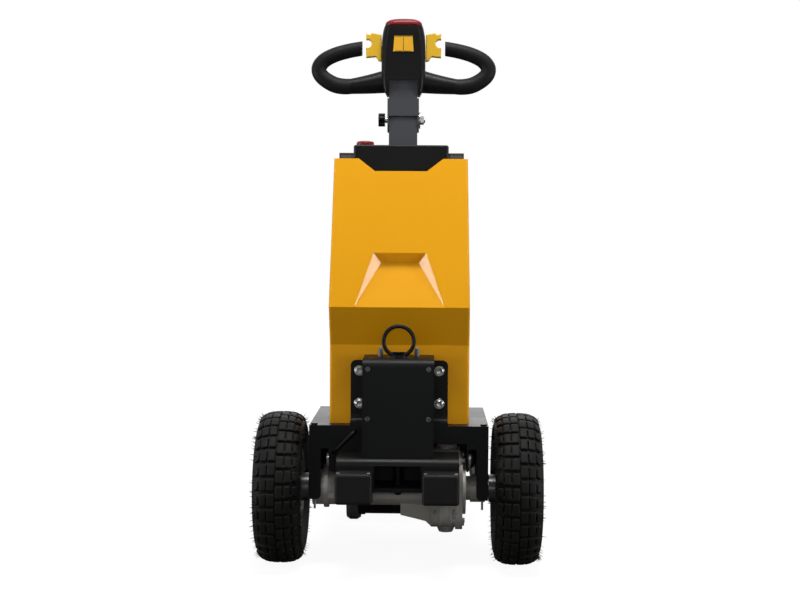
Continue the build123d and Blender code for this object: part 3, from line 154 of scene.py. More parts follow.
# %% [markdown]
# ## Light and floor
# Product studios light such a machine with soft boxes, because a large lamp gives soft shadows and even
# paint. A wide box hangs high over the front, so steep faces are lit and none of them mirrors it at the
# camera. Two boxes stand high at the front corners, and a low one far in front fills the hitch and the
# tyres. Two narrow strips stand at the sides, at the height where the sunk panel's side walls mirror them,
# and a large box behind lights the edges. The room behind the camera is dark, so black parts stay black.
# The floor is a pale sheet that keeps the shadow. It looks white through Light Path, which adds brightness
# for the camera alone, and a little more of it farther away.

# %% World, floor and lamps
ROOM_DIM = 0.06           # what gloss shows behind the camera
ROOM_LIGHT = 0.14         # light from all round
ROOM_FADE = (-0.25, 0.6)  # Y of the look direction, from where the room is dark to where it is white
FLOOR_HALF = 14.0
FLOOR_GREY = 0.13
FLOOR_LIFT = (0.93, 1.0)  # brightness added for the camera, near the machine and far from it
LIFT_REACH = (0.9, 2.4)   # metres from the machine over which it grows


def colour(red, green, blue):
    """A colour written in the 0 to 255 numbers of a screen, as the linear values that shaders use."""
    share = np.array([red, green, blue]) / 255
    linear = np.where(share <= 0.04045, share / 12.92, ((share + 0.055) / 1.055) ** 2.4)
    return (*linear.tolist(), 1.0)


def node_tree(owner):
    """The owner's node tree, switched on and emptied."""
    owner.use_nodes = True
    tree = owner.node_tree
    tree.nodes.clear()
    return tree


def add(tree, kind, **settings):
    """A new node. Each setting is the value of the input of that name, or else a property of the node."""
    node = tree.nodes.new(kind)
    for key, value in settings.items():
        if key in node.inputs.keys():
            node.inputs[key].default_value = value
        else:
            setattr(node, key, value)
    return node


def make_world():
    """White to the camera. For light it is an even dim grey; for gloss it is pale behind the machine and dark
    behind the camera.
    """
    world = bpy.data.worlds.new("studio")
    bpy.context.scene.world = world
    tree = node_tree(world)
    path = add(tree, "ShaderNodeLightPath")
    way = add(tree, "ShaderNodeTexCoord")
    split = add(tree, "ShaderNodeSeparateXYZ")
    shade = add(tree, "ShaderNodeMapRange")
    for name, value in zip(("From Min", "From Max", "To Min", "To Max"), (*ROOM_FADE, ROOM_DIM, 1.0)):
        shade.inputs[name].default_value = value
    room = add(tree, "ShaderNodeMix", data_type="FLOAT")
    room.inputs[2].default_value = ROOM_LIGHT
    seen = add(tree, "ShaderNodeMix", data_type="FLOAT")
    seen.inputs[3].default_value = 1.0
    back = add(tree, "ShaderNodeBackground", Color=(1, 1, 1, 1))
    out = add(tree, "ShaderNodeOutputWorld")
    tree.links.new(way.outputs["Generated"], split.inputs[0])
    tree.links.new(split.outputs["Y"], shade.inputs["Value"])
    tree.links.new(path.outputs["Is Glossy Ray"], room.inputs[0])
    tree.links.new(shade.outputs[0], room.inputs[3])
    tree.links.new(path.outputs["Is Camera Ray"], seen.inputs[0])
    tree.links.new(room.outputs[0], seen.inputs[2])
    tree.links.new(seen.outputs[0], back.inputs["Strength"])
    tree.links.new(back.outputs[0], out.inputs["Surface"])


def make_floor():
    """A wide pale sheet: its own light is added for the camera alone, so the shadow on it stays."""
    mesh = bpy.data.meshes.new("floor")
    corners = [(x * FLOOR_HALF, y * FLOOR_HALF, 0) for x, y in ((-1, -1), (1, -1), (1, 1), (-1, 1))]
    mesh.from_pydata(corners, [], [(0, 1, 2, 3)])
    floor = bpy.data.objects.new("floor", mesh)
    bpy.context.scene.collection.objects.link(floor)
    material = bpy.data.materials.new("floor_sheet")
    tree = node_tree(material)
    path = add(tree, "ShaderNodeLightPath")
    sheet = add(tree, "ShaderNodeBsdfDiffuse", Color=(FLOOR_GREY, FLOOR_GREY, FLOOR_GREY, 1))
    place = add(tree, "ShaderNodeTexCoord")
    away = add(tree, "ShaderNodeVectorMath", operation="LENGTH")
    level = add(tree, "ShaderNodeMapRange")
    for name, value in zip(("From Min", "From Max", "To Min", "To Max"), LIFT_REACH + FLOOR_LIFT):
        level.inputs[name].default_value = value
    lift = add(tree, "ShaderNodeEmission", Color=(1, 1, 1, 1))
    amount = add(tree, "ShaderNodeMath", operation="MULTIPLY")
    both = add(tree, "ShaderNodeAddShader")
    out = add(tree, "ShaderNodeOutputMaterial")
    tree.links.new(place.outputs["Object"], away.inputs[0])
    tree.links.new(away.outputs["Value"], level.inputs["Value"])
    tree.links.new(path.outputs["Is Camera Ray"], amount.inputs[0])
    tree.links.new(level.outputs[0], amount.inputs[1])
    tree.links.new(amount.outputs[0], lift.inputs["Strength"])
    tree.links.new(sheet.outputs[0], both.inputs[0])
    tree.links.new(lift.outputs[0], both.inputs[1])
    tree.links.new(both.outputs[0], out.inputs["Surface"])
    floor.data.materials.append(material)


LAMPS = (  # name, place, point aimed at, width and height, watts
    ("top_box", (0.1, -0.75, 3.3), (0.0, -0.1, 0.6), (1.8, 0.7), 65.0),
    ("right_fill", (2.3, -2.3, 2.6), (0.0, -0.1, 0.5), (0.7, 0.9), 12.0),
    ("left_fill", (-2.3, -2.3, 2.6), (0.0, -0.1, 0.5), (0.7, 0.9), 12.0),
    ("low_front", (0.0, -3.8, 0.9), (0.0, -0.1, 0.4), (1.0, 0.5), 6.0),
    ("right_strip", (2.3, -0.90, 0.57), (0.0, -0.17, 0.57), (0.24, 0.9), 18.0),
    ("left_strip", (-2.3, -0.79, 0.57), (0.0, -0.17, 0.57), (0.24, 0.9), 18.0),
    ("rear_wall", (0.3, 3.2, 1.8), (0.0, 0.1, 0.5), (2.2, 1.0), 24.0),
)


def make_lamps():
    """Rectangular soft boxes, each aimed at a point on the machine."""
    for name, place, target, (wide, tall), power in LAMPS:
        lamp = bpy.data.lights.new(name, "AREA")
        lamp.shape, lamp.size, lamp.size_y, lamp.energy = "RECTANGLE", wide, tall, power
        box = bpy.data.objects.new(name, lamp)
        box.location = place
        box.rotation_euler = (Vector(target) - Vector(place)).to_track_quat("-Z", "Y").to_euler()
        bpy.context.scene.collection.objects.link(box)


make_world()
make_floor()
make_lamps()
bpy.context.scene.view_settings.view_transform = "Standard"
print("lamps", [row[0] for row in LAMPS])


# %% [markdown]
# ## Two shared effects
# Paint, plastic, rubber and cast metal all need the same two things: a fine grain that breaks up the gloss,
# and a slow change of tone over the surface. One node group gives both, and each material sets its own
# scales. A second group adds dust that lies low on the machine. They read Object coordinates, so nothing
# slides when a part moves.

# %% Shader node groups
def group_sockets(group, inputs, outputs):
    """Gives a node group its inputs, each with a default value, and its outputs."""
    for name, kind, value in inputs:
        socket = group.interface.new_socket(name=name, in_out="INPUT", socket_type=kind)
        socket.default_value = value
    for name, kind in outputs:
        group.interface.new_socket(name=name, in_out="OUTPUT", socket_type=kind)


def make_surface_group():
    """Grain and slow tone: colour and roughness follow a cloudy noise, height is the fine grain."""
    group = bpy.data.node_groups.new("fine_surface", "ShaderNodeTree")
    group_sockets(group, [
        ("Colour", "NodeSocketColor", (0.5, 0.5, 0.5, 1)), ("Tone change", "NodeSocketFloat", 0.05),
        ("Roughness", "NodeSocketFloat", 0.5), ("Roughness change", "NodeSocketFloat", 0.05),
        ("Grain scale", "NodeSocketFloat", 900.0), ("Cloud scale", "NodeSocketFloat", 7.0)],
        [("Colour", "NodeSocketColor"), ("Roughness", "NodeSocketFloat"), ("Height", "NodeSocketFloat")])
    start = group.nodes.new("NodeGroupInput")
    end = group.nodes.new("NodeGroupOutput")
    place = group.nodes.new("ShaderNodeTexCoord")
    grain = add(group, "ShaderNodeTexNoise", Detail=3.0)
    cloud = add(group, "ShaderNodeTexNoise", Detail=4.0)
    tone = add(group, "ShaderNodeMath", operation="MULTIPLY_ADD")
    centre = add(group, "ShaderNodeMath", operation="SUBTRACT")
    centre.inputs[1].default_value = 0.5
    shade = add(group, "ShaderNodeHueSaturation")
    gloss = add(group, "ShaderNodeMath", operation="MULTIPLY_ADD")
    link = group.links.new
    link(place.outputs["Object"], grain.inputs["Vector"])
    link(place.outputs["Object"], cloud.inputs["Vector"])
    link(start.outputs["Grain scale"], grain.inputs["Scale"])
    link(start.outputs["Cloud scale"], cloud.inputs["Scale"])
    link(cloud.outputs[0], centre.inputs[0])
    link(centre.outputs[0], tone.inputs[0])
    link(start.outputs["Tone change"], tone.inputs[1])
    tone.inputs[2].default_value = 1.0
    link(tone.outputs[0], shade.inputs["Value"])
    link(start.outputs["Colour"], shade.inputs["Color"])
    link(centre.outputs[0], gloss.inputs[0])
    link(start.outputs["Roughness change"], gloss.inputs[1])
    link(start.outputs["Roughness"], gloss.inputs[2])
    link(shade.outputs[0], end.inputs["Colour"])
    link(gloss.outputs[0], end.inputs["Roughness"])
    link(grain.outputs[0], end.inputs["Height"])
    return group


def make_dust_group():
    """Dust: thickest at the floor, gone above a height, and broken into patches by a noise."""
    group = bpy.data.node_groups.new("low_dust", "ShaderNodeTree")
    group_sockets(group, [
        ("Colour", "NodeSocketColor", (0.1, 0.1, 0.1, 1)),
        ("Dust colour", "NodeSocketColor", colour(128, 120, 108)),
        ("Amount", "NodeSocketFloat", 0.1), ("Top height", "NodeSocketFloat", 0.3)],
        [("Colour", "NodeSocketColor"), ("Mask", "NodeSocketFloat")])
    start = group.nodes.new("NodeGroupInput")
    end = group.nodes.new("NodeGroupOutput")
    place = group.nodes.new("ShaderNodeTexCoord")
    split = add(group, "ShaderNodeSeparateXYZ")
    fade = add(group, "ShaderNodeMapRange")
    fade.inputs["To Min"].default_value = 1.0
    fade.inputs["To Max"].default_value = 0.0
    patch = add(group, "ShaderNodeTexNoise", Scale=28.0, Detail=5.0)
    less = add(group, "ShaderNodeMath", operation="MULTIPLY")
    mask = add(group, "ShaderNodeMath", operation="MULTIPLY", use_clamp=True)
    mix = add(group, "ShaderNodeMix", data_type="RGBA")
    link = group.links.new
    link(place.outputs["Object"], split.inputs[0])
    link(place.outputs["Object"], patch.inputs["Vector"])
    link(split.outputs["Z"], fade.inputs["Value"])
    link(start.outputs["Top height"], fade.inputs["From Max"])
    link(fade.outputs[0], less.inputs[0])
    link(patch.outputs[0], less.inputs[1])
    link(less.outputs[0], mask.inputs[0])
    link(start.outputs["Amount"], mask.inputs[1])
    link(mask.outputs[0], mix.inputs[0])
    link(start.outputs["Colour"], mix.inputs[6])
    link(start.outputs["Dust colour"], mix.inputs[7])
    link(mix.outputs[2], end.inputs["Colour"])
    link(mask.outputs[0], end.inputs["Mask"])
    return group


SURFACE = make_surface_group()
DUST = make_dust_group()


# %% [markdown]
# ## Finishes
# Each finish is one Principled shader. Its colour, roughness and bump come through the groups, and the
# values that don't change over the surface are set on the shader itself. Powder coat has a fine pebbled
# grain, a casting a coarser one, and moulded grips are soft and dull. The numbers in the table are what
# makes one finish differ from the next. A finish has the name of its material slot. Two more, a duller zinc
# and a brighter casting, are for small parts that share a slot with a larger one.

# %% Materials
COAT_ROUGHNESS = 0.12
FINISH_TABLE = (
    # name, colour, roughness, metallic, tone change, roughness change, grain scale, grain depth in mm,
    # cloud scale, coat, dust, specular level
    ("cover_paint", (251, 176, 12), 0.46, 0.0, 0.04, 0.06, 520, 0.012, 5.0, 0.30, 0.0, 0.2),
    ("frame_paint", (12, 14, 14), 0.44, 0.0, 0.20, 0.12, 900, 0.030, 9.0, 0.0, 0.04, 0.26),
    ("grey_paint", (72, 73, 78), 0.42, 0.0, 0.08, 0.08, 800, 0.020, 8.0, 0.0, 0.0, 0.4),
    ("zinc", (196, 196, 194), 0.30, 1.0, 0.10, 0.18, 600, 0.006, 30.0, 0.0, 0.0, 0.5),
    ("dull_zinc", (128, 128, 128), 0.60, 0.7, 0.10, 0.15, 600, 0.006, 30.0, 0.0, 0.0, 0.4),
    ("bright_cast", (168, 168, 160), 0.50, 0.4, 0.15, 0.16, 420, 0.040, 18.0, 0.0, 0.0, 0.5),
    ("steel", (120, 120, 120), 0.36, 1.0, 0.12, 0.15, 700, 0.006, 25.0, 0.0, 0.05, 0.5),
    ("pin_steel", (34, 34, 36), 0.40, 0.6, 0.15, 0.15, 700, 0.010, 25.0, 0.0, 0.0, 0.4),
    ("cast_aluminium", (204, 200, 192), 0.52, 0.25, 0.22, 0.16, 420, 0.060, 18.0, 0.0, 0.06, 0.5),
    ("motor_paint", (20, 20, 20), 0.50, 0.0, 0.20, 0.10, 700, 0.020, 10.0, 0.0, 0.05, 0.3),
    ("black_plastic", (14, 14, 14), 0.42, 0.0, 0.12, 0.08, 1400, 0.020, 10.0, 0.0, 0.0, 0.26),
    ("battery_case", (28, 28, 31), 0.50, 0.0, 0.10, 0.08, 900, 0.020, 10.0, 0.0, 0.0, 0.35),
    ("grip_rubber", (13, 13, 13), 0.58, 0.0, 0.14, 0.08, 1100, 0.040, 12.0, 0.0, 0.0, 0.28),
    ("block_rubber", (13, 14, 14), 0.55, 0.0, 0.16, 0.10, 800, 0.040, 14.0, 0.0, 0.06, 0.3),
    ("tyre", (13, 13, 12), 0.64, 0.0, 0.22, 0.12, 700, 0.060, 20.0, 0.0, 0.05, 0.24),
    ("caster_rubber", (44, 44, 44), 0.55, 0.0, 0.15, 0.10, 700, 0.030, 18.0, 0.0, 0.15, 0.3),
    ("rim_paint", (168, 170, 172), 0.38, 0.35, 0.06, 0.08, 700, 0.015, 12.0, 0.0, 0.05, 0.5),
    ("yellow_plastic", (248, 198, 50), 0.36, 0.0, 0.06, 0.08, 1200, 0.020, 12.0, 0.0, 0.0, 0.4),
    ("red_plastic", (132, 18, 24), 0.34, 0.0, 0.06, 0.08, 1200, 0.015, 12.0, 0.0, 0.0, 0.4),
    ("label", (246, 184, 40), 0.28, 0.0, 0.03, 0.05, 300, 0.004, 20.0, 0.0, 0.0, 0.45),
)


def make_finish(name, tint, rough, metal, tone, rough_change, grain, depth, cloud, coat, dust, specular):
    """One finish: the surface group feeds colour, roughness and bump, and dust lies over the colour."""
    material = bpy.data.materials.new(name)
    tree = node_tree(material)
    detail = add(tree, "ShaderNodeGroup")
    detail.node_tree = SURFACE
    settings = (("Colour", colour(*tint)), ("Tone change", 2 * tone), ("Roughness", rough),
                ("Roughness change", 2 * rough_change), ("Grain scale", grain), ("Cloud scale", cloud))
    for socket, value in settings:
        detail.inputs[socket].default_value = value
    bump = add(tree, "ShaderNodeBump", Strength=1.0, Distance=depth * MM)
    shader = add(tree, "ShaderNodeBsdfPrincipled", Metallic=metal)
    shader.inputs["Coat Weight"].default_value = coat
    shader.inputs["Coat Roughness"].default_value = COAT_ROUGHNESS
    shader.inputs["Specular IOR Level"].default_value = specular
    out = add(tree, "ShaderNodeOutputMaterial")
    tree.links.new(detail.outputs["Roughness"], shader.inputs["Roughness"])
    tree.links.new(detail.outputs["Height"], bump.inputs["Height"])
    tree.links.new(bump.outputs[0], shader.inputs["Normal"])
    if dust:
        low = add(tree, "ShaderNodeGroup")
        low.node_tree = DUST
        low.inputs["Amount"].default_value = dust
        tree.links.new(detail.outputs["Colour"], low.inputs["Colour"])
        tree.links.new(low.outputs["Colour"], shader.inputs["Base Color"])
    else:
        tree.links.new(detail.outputs["Colour"], shader.inputs["Base Color"])
    tree.links.new(shader.outputs[0], out.inputs["Surface"])
    return material


FINISH = {row[0]: make_finish(*row) for row in FINISH_TABLE}
SLOT_OF = {part["node"]: part["material_slot"] for part in frame["record"]["subparts"]}
for name, node in NODES.items():
    node.data.materials.clear()
    node.data.materials.append(FINISH[SLOT_OF[name]])
print("finishes", len(FINISH))


# %% [markdown]
# ## Tyres
# A small air-filled drive tyre has a round shoulder and a block tread. A superellipse gives its section:
# fuller than a circle, flatter at the tread. The rubber between the blocks is the same curve, sunk by the
# tread's depth. It is turned about the axle as a grid of two parameters, the turn and the way along the
# section.

# %% Tyre section
TREAD_DEPTH = 5.5
SHOULDER_DEPTH = 1.0
SECTION_POWER = 2.8
BELLY_SHARE = 0.455       # from the tread down to the widest place, as a share of the section's height
RIM_LIP = 11.0            # the rim's lip stands this far over the bead
BEAD_HALF = 36.7          # half the width between the beads' outer sides
SHOULDER = (0.72, 0.88)   # where the tread's depth runs out, as shares of the way to the widest place
SIDE_RIBS = ((22.0, 1.2, 1.0), (30.0, 1.0, 0.7))  # height over the bead, half width, share of RIB_HEIGHT
RIB_HEIGHT = 0.8
TYRE_STEPS = 224
CURVE_POINTS = 500
TREAD_POINTS = 73
SIDE_POINTS = 41
SIDE_LAP = 1.5            # the side starts this far under the widest place


def tyre_size(side):
    """Centre, half width, outer radius and bead radius of a tyre, in millimetres, from the frame."""
    low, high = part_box(f"tyre_{side}")
    rim_low, rim_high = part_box(f"rim_{side}")
    centre = (np.array(low) + np.array(high)) / 2 / MM
    bead = (rim_high.z - rim_low.z) / 2 / MM - RIM_LIP
    return centre, (high.x - low.x) / 2 / MM, (high.z - low.z) / 2 / MM, bead


def tread_curve(half, radius, belly):
    """Superellipse from the tread's middle to the widest place: arc length, x, radius and outward normal."""
    t = np.linspace(0, np.pi / 2, CURVE_POINTS)
    x = half * np.sin(t) ** (2 / SECTION_POWER)
    r = belly + (radius - belly) * np.cos(t) ** (2 / SECTION_POWER)
    along = np.concatenate([[0], np.cumsum(np.hypot(np.diff(x), np.diff(r)))])
    dx, dr = np.gradient(x), np.gradient(r)
    size = np.hypot(dx, dr)
    return along, x, r, -dr / size, dx / size


def on_tread(curve, across, lift):
    """x and radius of points at a signed arc length from the tread's middle, lifted along the normal."""
    along, x, r, normal_x, normal_r = curve
    reach = np.abs(across)
    px = np.interp(reach, along, x) + lift * np.interp(reach, along, normal_x)
    pr = np.interp(reach, along, r) + lift * np.interp(reach, along, normal_r)
    return np.sign(across) * px, pr


def fade(value, start, end):
    """Smooth step: 0 before start, 1 after end, and 3t^2 - 2t^3 between them."""
    t = np.clip((value - start) / (end - start), 0, 1)
    return t * t * (3 - 2 * t)


def tyre_carcass(side, curve):
    """Section of the tyre without its blocks, turned about the axle and closed over the bead."""
    centre, half, _, bead = tyre_size(side)
    edge = curve[0][-1]
    belly = curve[2][-1]
    across = np.linspace(-edge, edge, TREAD_POINTS)
    thin = fade(np.abs(across), SHOULDER[0] * edge, SHOULDER[1] * edge)
    depth = TREAD_DEPTH + (SHOULDER_DEPTH - TREAD_DEPTH) * thin
    x, r = on_tread(curve, across, -depth)
    low_r = np.linspace(belly - SIDE_LAP, bead, SIDE_POINTS)
    share = (belly - low_r) / (belly - bead)
    ribs = sum(tall * np.exp(-((low_r - bead - place) / wide) ** 2) for place, wide, tall in SIDE_RIBS)
    low_x = half - SHOULDER_DEPTH - (half - SHOULDER_DEPTH - BEAD_HALF) * share ** 2 + RIB_HEIGHT * ribs
    low = np.stack([low_x, low_r], 1)
    profile = np.concatenate([low[::-1] * (-1, 1), np.stack([x, r], 1), low])
    points, faces = turned(profile, (0, 0, 0), TYRE_STEPS, closed=True)
    return (points + centre) * MM, faces


# %% [markdown]
# ## Tread blocks
# Each half of the tread repeats one hand-shaped block: three fingers across, joined at one end by thin
# webs, with narrow slots between them. The other half is the same hand turned round and shifted by half a
# step. Each finger is a small closed form of four rings, so the hundreds of them stay light: a foot in the
# rubber, a wall, a bevel and a slightly crowned top that follows the section's curve.

# %% Tread blocks
TREAD_ROWS = 32
HAND = (  # from and to across, length, shift towards the open end, corner radius, skew, drop
    (1.3, 16.6, 26.2, 0.0, 2.6, 0.00, 0.0),
    (19.0, 33.4, 25.6, 0.4, 2.8, 0.04, 0.0),
    (36.0, 51.5, 20.5, 1.6, 5.0, 0.16, 0.0),
    (14.5, 21.5, 6.5, -9.8, 1.0, 0.00, 0.7),
    (31.0, 38.5, 6.0, -8.4, 1.0, 0.10, 0.7),
)
BEVEL = 0.9
ROOT_SPREAD = 0.9         # a block is this much wider at its foot
CORNER_POINTS = 4
OUTLINE_POINTS = 4 * CORNER_POINTS


def rounded_outline(length, width, corner):
    """Points round a rectangle with round corners: each corner's quarter circle about its own centre."""
    place = np.arange(OUTLINE_POINTS)
    quarter = place // CORNER_POINTS
    turn = np.radians(90 * quarter + 90 / (CORNER_POINTS - 1) * (place % CORNER_POINTS))
    middle = np.radians(90 * quarter + 45)
    u = np.sign(np.cos(middle)) * (length / 2 - corner) + corner * np.cos(turn)
    across = np.sign(np.sin(middle)) * (width / 2 - corner) + corner * np.sin(turn)
    return u, across


def block_rings(start, end, length, shift, corner, skew, drop):
    """One block laid flat, as (round, across, lift): foot, wall, bevel, inner ring and its middle point."""
    width = end - start
    rings = []
    for grow, lift in ((ROOT_SPREAD, -TREAD_DEPTH - 1), (0, -BEVEL), (-BEVEL, 0), (-width / 4, 0)):
        u, across = rounded_outline(length + 2 * grow, width + 2 * grow, max(corner + grow, 0.4))
        place = (start + end) / 2 + across
        rings.append(np.stack([shift + u + skew * (place - start), place, np.full(len(u), lift - drop)], 1))
    middle = np.mean(rings[-1], axis=0, keepdims=True)
    return np.concatenate(rings + [middle])


def tread_blocks(side, curve, outward):
    """Every block of a tyre, each bent onto the section's curve at its own place round the tyre."""
    centre, _, radius, _ = tyre_size(side)
    pitch = 2 * np.pi / TREAD_ROWS
    shapes = []
    for way in (-1, 1):
        for row in HAND:
            flat = block_rings(*row)
            x, r = on_tread(curve, way * outward * flat[:, 1], flat[:, 2])
            first = 0.5 if way < 0 else 0
            turn = (np.arange(TREAD_ROWS)[:, None] + first) * pitch + way * flat[:, 0] / radius
            shapes.append(np.stack([x + 0 * turn, r * np.cos(turn), r * np.sin(turn)], -1))
    n = OUTLINE_POINTS
    step = np.arange(n)
    fan = np.stack([3 * n + step, 3 * n + (step + 1) % n, np.full(n, 4 * n)], 1)
    faces = [grid_faces(4, n, wrap_columns=True), fan, step[None, ::-1]]
    points, faces = repeated(np.concatenate(shapes), faces)
    return (points + centre) * MM, faces


# %% [markdown]
# ## Moulding hairs
# A new tyre keeps fine rubber hairs where the mould let its air out. They stand in rows along both edges of
# the tread. Each is a thin cone with four sides, tilted a little at random from a fixed seed. None stands
# where the tyre meets the floor, because there the tyre's weight presses them flat.

# %% Moulding hairs
HAIRS = 300
HAIR_ROWS = (46.0, 51.0, 57.0)  # along the section from the tread's middle
HAIR_SPREAD = 1.5
HAIR_TILT = 2.0
HAIR_LEAN = 0.012               # radians round the tyre
HAIR_RADIUS = 0.95
HAIR_LENGTHS = (6.0, 11.5)
FLOOR_CLEAR = 10.0


def tyre_hairs(side, curve, seed):
    """Thin cones on the shoulder: a square foot, four sides, and a tip along the tilted normal."""
    centre, _, radius, _ = tyre_size(side)
    rng = np.random.default_rng(seed)
    across = rng.choice([-1, 1], HAIRS) * rng.choice(HAIR_ROWS, HAIRS)
    across = across + rng.uniform(-HAIR_SPREAD, HAIR_SPREAD, HAIRS)
    turn = rng.uniform(0, 2 * np.pi, HAIRS)
    x, r = on_tread(curve, across, -0.5)
    tip_across = across + rng.uniform(-HAIR_TILT, HAIR_TILT, HAIRS)
    tip_x, tip_r = on_tread(curve, tip_across, rng.uniform(*HAIR_LENGTHS, HAIRS))
    lean = rng.uniform(-HAIR_LEAN, HAIR_LEAN, HAIRS)
    corner = np.arange(4) * np.pi / 2
    foot_x = x[:, None] + HAIR_RADIUS * np.cos(corner)
    foot_turn = turn[:, None] + HAIR_RADIUS / radius * np.sin(corner)
    foot = np.stack([foot_x, r[:, None] * np.cos(foot_turn), r[:, None] * np.sin(foot_turn)], -1)
    tip = np.stack([tip_x, tip_r * np.cos(turn + lean), tip_r * np.sin(turn + lean)], -1)[:, None]
    shapes = np.concatenate([foot, tip], 1) + centre
    shapes = shapes[shapes[:, :, 2].min(axis=1) > FLOOR_CLEAR]
    step = np.arange(4)
    sides = np.stack([step, (step + 1) % 4, np.full(4, 4)], 1)
    points, faces = repeated(shapes, [sides, step[None, ::-1]])
    return points * MM, faces


for side, outward in (("left", -1), ("right", 1)):
    _, half, radius, bead = tyre_size(side)
    curve = tread_curve(half, radius, radius - BELLY_SHARE * (radius - bead))
    body = f"wheel_{side}"
    rubber = FINISH["tyre"]
    carcass = piece(f"tyre_{side}_carcass", *tyre_carcass(side, curve), body, "tyre", rubber)
    blocks = piece(f"tyre_{side}_tread", *tread_blocks(side, curve, outward), body, "tyre", rubber)
    hair_form = tyre_hairs(side, curve, seed=7 + outward)
    hairs = piece(f"tyre_{side}_hairs", *hair_form, body, "tyre", rubber, smooth=False)
    smooth_by_angle(blocks, 50)
    smooth_by_angle(carcass, 50)
    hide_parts(f"tyre_{side}")
    print(side, "tyre faces", [len(made.data.polygons) for made in (carcass, blocks, hairs)])


# %% [markdown]
# ## Screws, studs and caps
# Most small metal parts are round about one line. A profile of (distance along the line, radius) pairs is
# turned about it. A bolt's socket is a hexagon, so its rings are stretched from a circle to a hexagon by a
# share. A knurl is the same ring with many small waves in its radius. Each form runs from the centre of one
# end to the centre of the other, so it is closed.

# %% Turned metal parts
def hexagon(angle):
    """Radius of a hexagon whose flats are at distance 1: 1 / cos(angle to the nearest flat's middle)."""
    return 1 / np.cos((angle + np.pi / 6) % (np.pi / 3) - np.pi / 6)


def lathe(profile, place, along="y", steps=36, waves=0, wave=0.0):
    """Rows of (distance, radius, hexagon share, wave share) in mm, turned about an axis through place."""
    rows = np.array([(tuple(row) + (0, 0))[:4] for row in profile], float)
    angle = np.linspace(0, 2 * np.pi, steps, endpoint=False)[:, None]
    reach = rows[:, 1] * (1 + rows[:, 2] * (hexagon(angle) - 1)) + rows[:, 3] * wave * np.cos(waves * angle)
    far = np.broadcast_to(rows[:, 0], reach.shape)
    one, two = reach * np.cos(angle), reach * np.sin(angle)
    order = {"x": (far, one, two), "y": (one, far, two), "z": (one, two, far)}[along]
    return (np.stack(order, -1) + np.asarray(place, float)) * MM, grid_faces(steps, len(rows), wrap_rows=True)


def many(forms):
    """Several (points, faces) forms as one mesh."""
    start, points, faces = 0, [], []
    for form_points, form_faces in forms:
        flat = form_points.reshape(-1, 3)
        points.append(flat)
        faces.extend((np.asarray(form_faces) + start).tolist())
        start += len(flat)
    return np.concatenate(points), faces


def box_mm(name):
    """Lowest and highest corners of a CAD node, in millimetres."""
    return [np.array(corner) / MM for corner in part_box(name)]


def cap_screw(washer, head, height, socket):
    """Profile of a flanged screw, from behind the washer to the bottom of its hexagon socket."""
    return [(0, 0), (0, washer), (-1.6, washer), (-2.0, washer - 0.5), (-2.0, head),
            (-height + 1.2, head), (-height, head - 1.4), (-height, socket + 0.9),
            (-height + 0.5, socket, 1), (-height + 3.6, socket, 1), (-height + 4.2, 0)]


# %% [markdown]
# ## Hitch screws and studs
# Four flanged cap screws hold the hitch plate to the front beam, and smaller button-head screws hold the
# front of the tower. Two threaded studs stand on the tower's top. A thread this fine is drawn as plain
# rings of two radii in turn, because a true helix would look the same from any distance and cost more
# faces.

# %% Hitch screws and studs
PLATE_ROWS = (348.5, 419.0)
PLATE_SCREW_IN = 10.5     # from the outer side of the CAD bolts to their centre lines
PLATE_SCREW_BACK = 6.0    # from their foremost point back to the face that they sit on
plate_low, plate_high = box_mm("plate_bolts")
bolt_x = plate_high[0] - PLATE_SCREW_IN
bolt_y = plate_low[1] + PLATE_SCREW_BACK
forms = [lathe(cap_screw(11.0, 8.2, 7.0, 4.0), (x, bolt_y, z)) for x in (-bolt_x, bolt_x) for z in PLATE_ROWS]
bolts = piece("plate_screws", *many(forms), "frame", "zinc", FINISH["zinc"])
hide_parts("plate_bolts")
smooth_by_angle(bolts)

TOWER_SCREW_X = 63.0
TOWER_SCREW_ROWS = (329.5, 433.0)
tower_low, tower_high = box_mm("hitch_tower")
button_head = [(4, 0), (4, 5.3), (0.6, 5.3), (0.0, 4.6), (0.0, 2.4), (1.2, 1.9, 1), (2.6, 0)]
places = [(x, tower_low[1], z) for x in (-TOWER_SCREW_X, TOWER_SCREW_X) for z in TOWER_SCREW_ROWS]
screws = piece("tower_screws", *many([lathe(button_head, place) for place in places]), "frame", "steel",
               FINISH["steel"])
smooth_by_angle(screws)

STUD_RADIUS = 5.7
THREAD_CORE = 5.0
THREAD_RANGE = (0.5, 18.5)
THREAD_STEP = 0.6
STUD_TOP = 20.0
stud_low, stud_high = box_mm("hitch_studs")
thread = [(z, STUD_RADIUS if count % 2 else THREAD_CORE)
          for count, z in enumerate(np.arange(*THREAD_RANGE, THREAD_STEP))]
stud_form = [(-1, 0), (-1, 5.2)] + thread + [(STUD_TOP - 1, THREAD_CORE), (STUD_TOP, 4.2), (STUD_TOP, 0)]
stud_y = (stud_low[1] + stud_high[1]) / 2
stud_ends = (stud_low[0] + STUD_RADIUS, stud_high[0] - STUD_RADIUS)
forms = [lathe(stud_form, (x, stud_y, stud_low[2]), "z", 24) for x in stud_ends]
studs = piece("stud_threads", *many(forms), "frame", "zinc", FINISH["dull_zinc"])
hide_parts("hitch_studs")
print("hitch parts", [len(made.data.polygons) for made in (bolts, screws, studs)])


# %% [markdown]
# ## Cap and screws of the gear case
# The gear case is filled through a knurled cap on its top, and two hexagon screws close its front. The
# knurl is many small waves in the cap's radius, which is how it is rolled on a lathe.

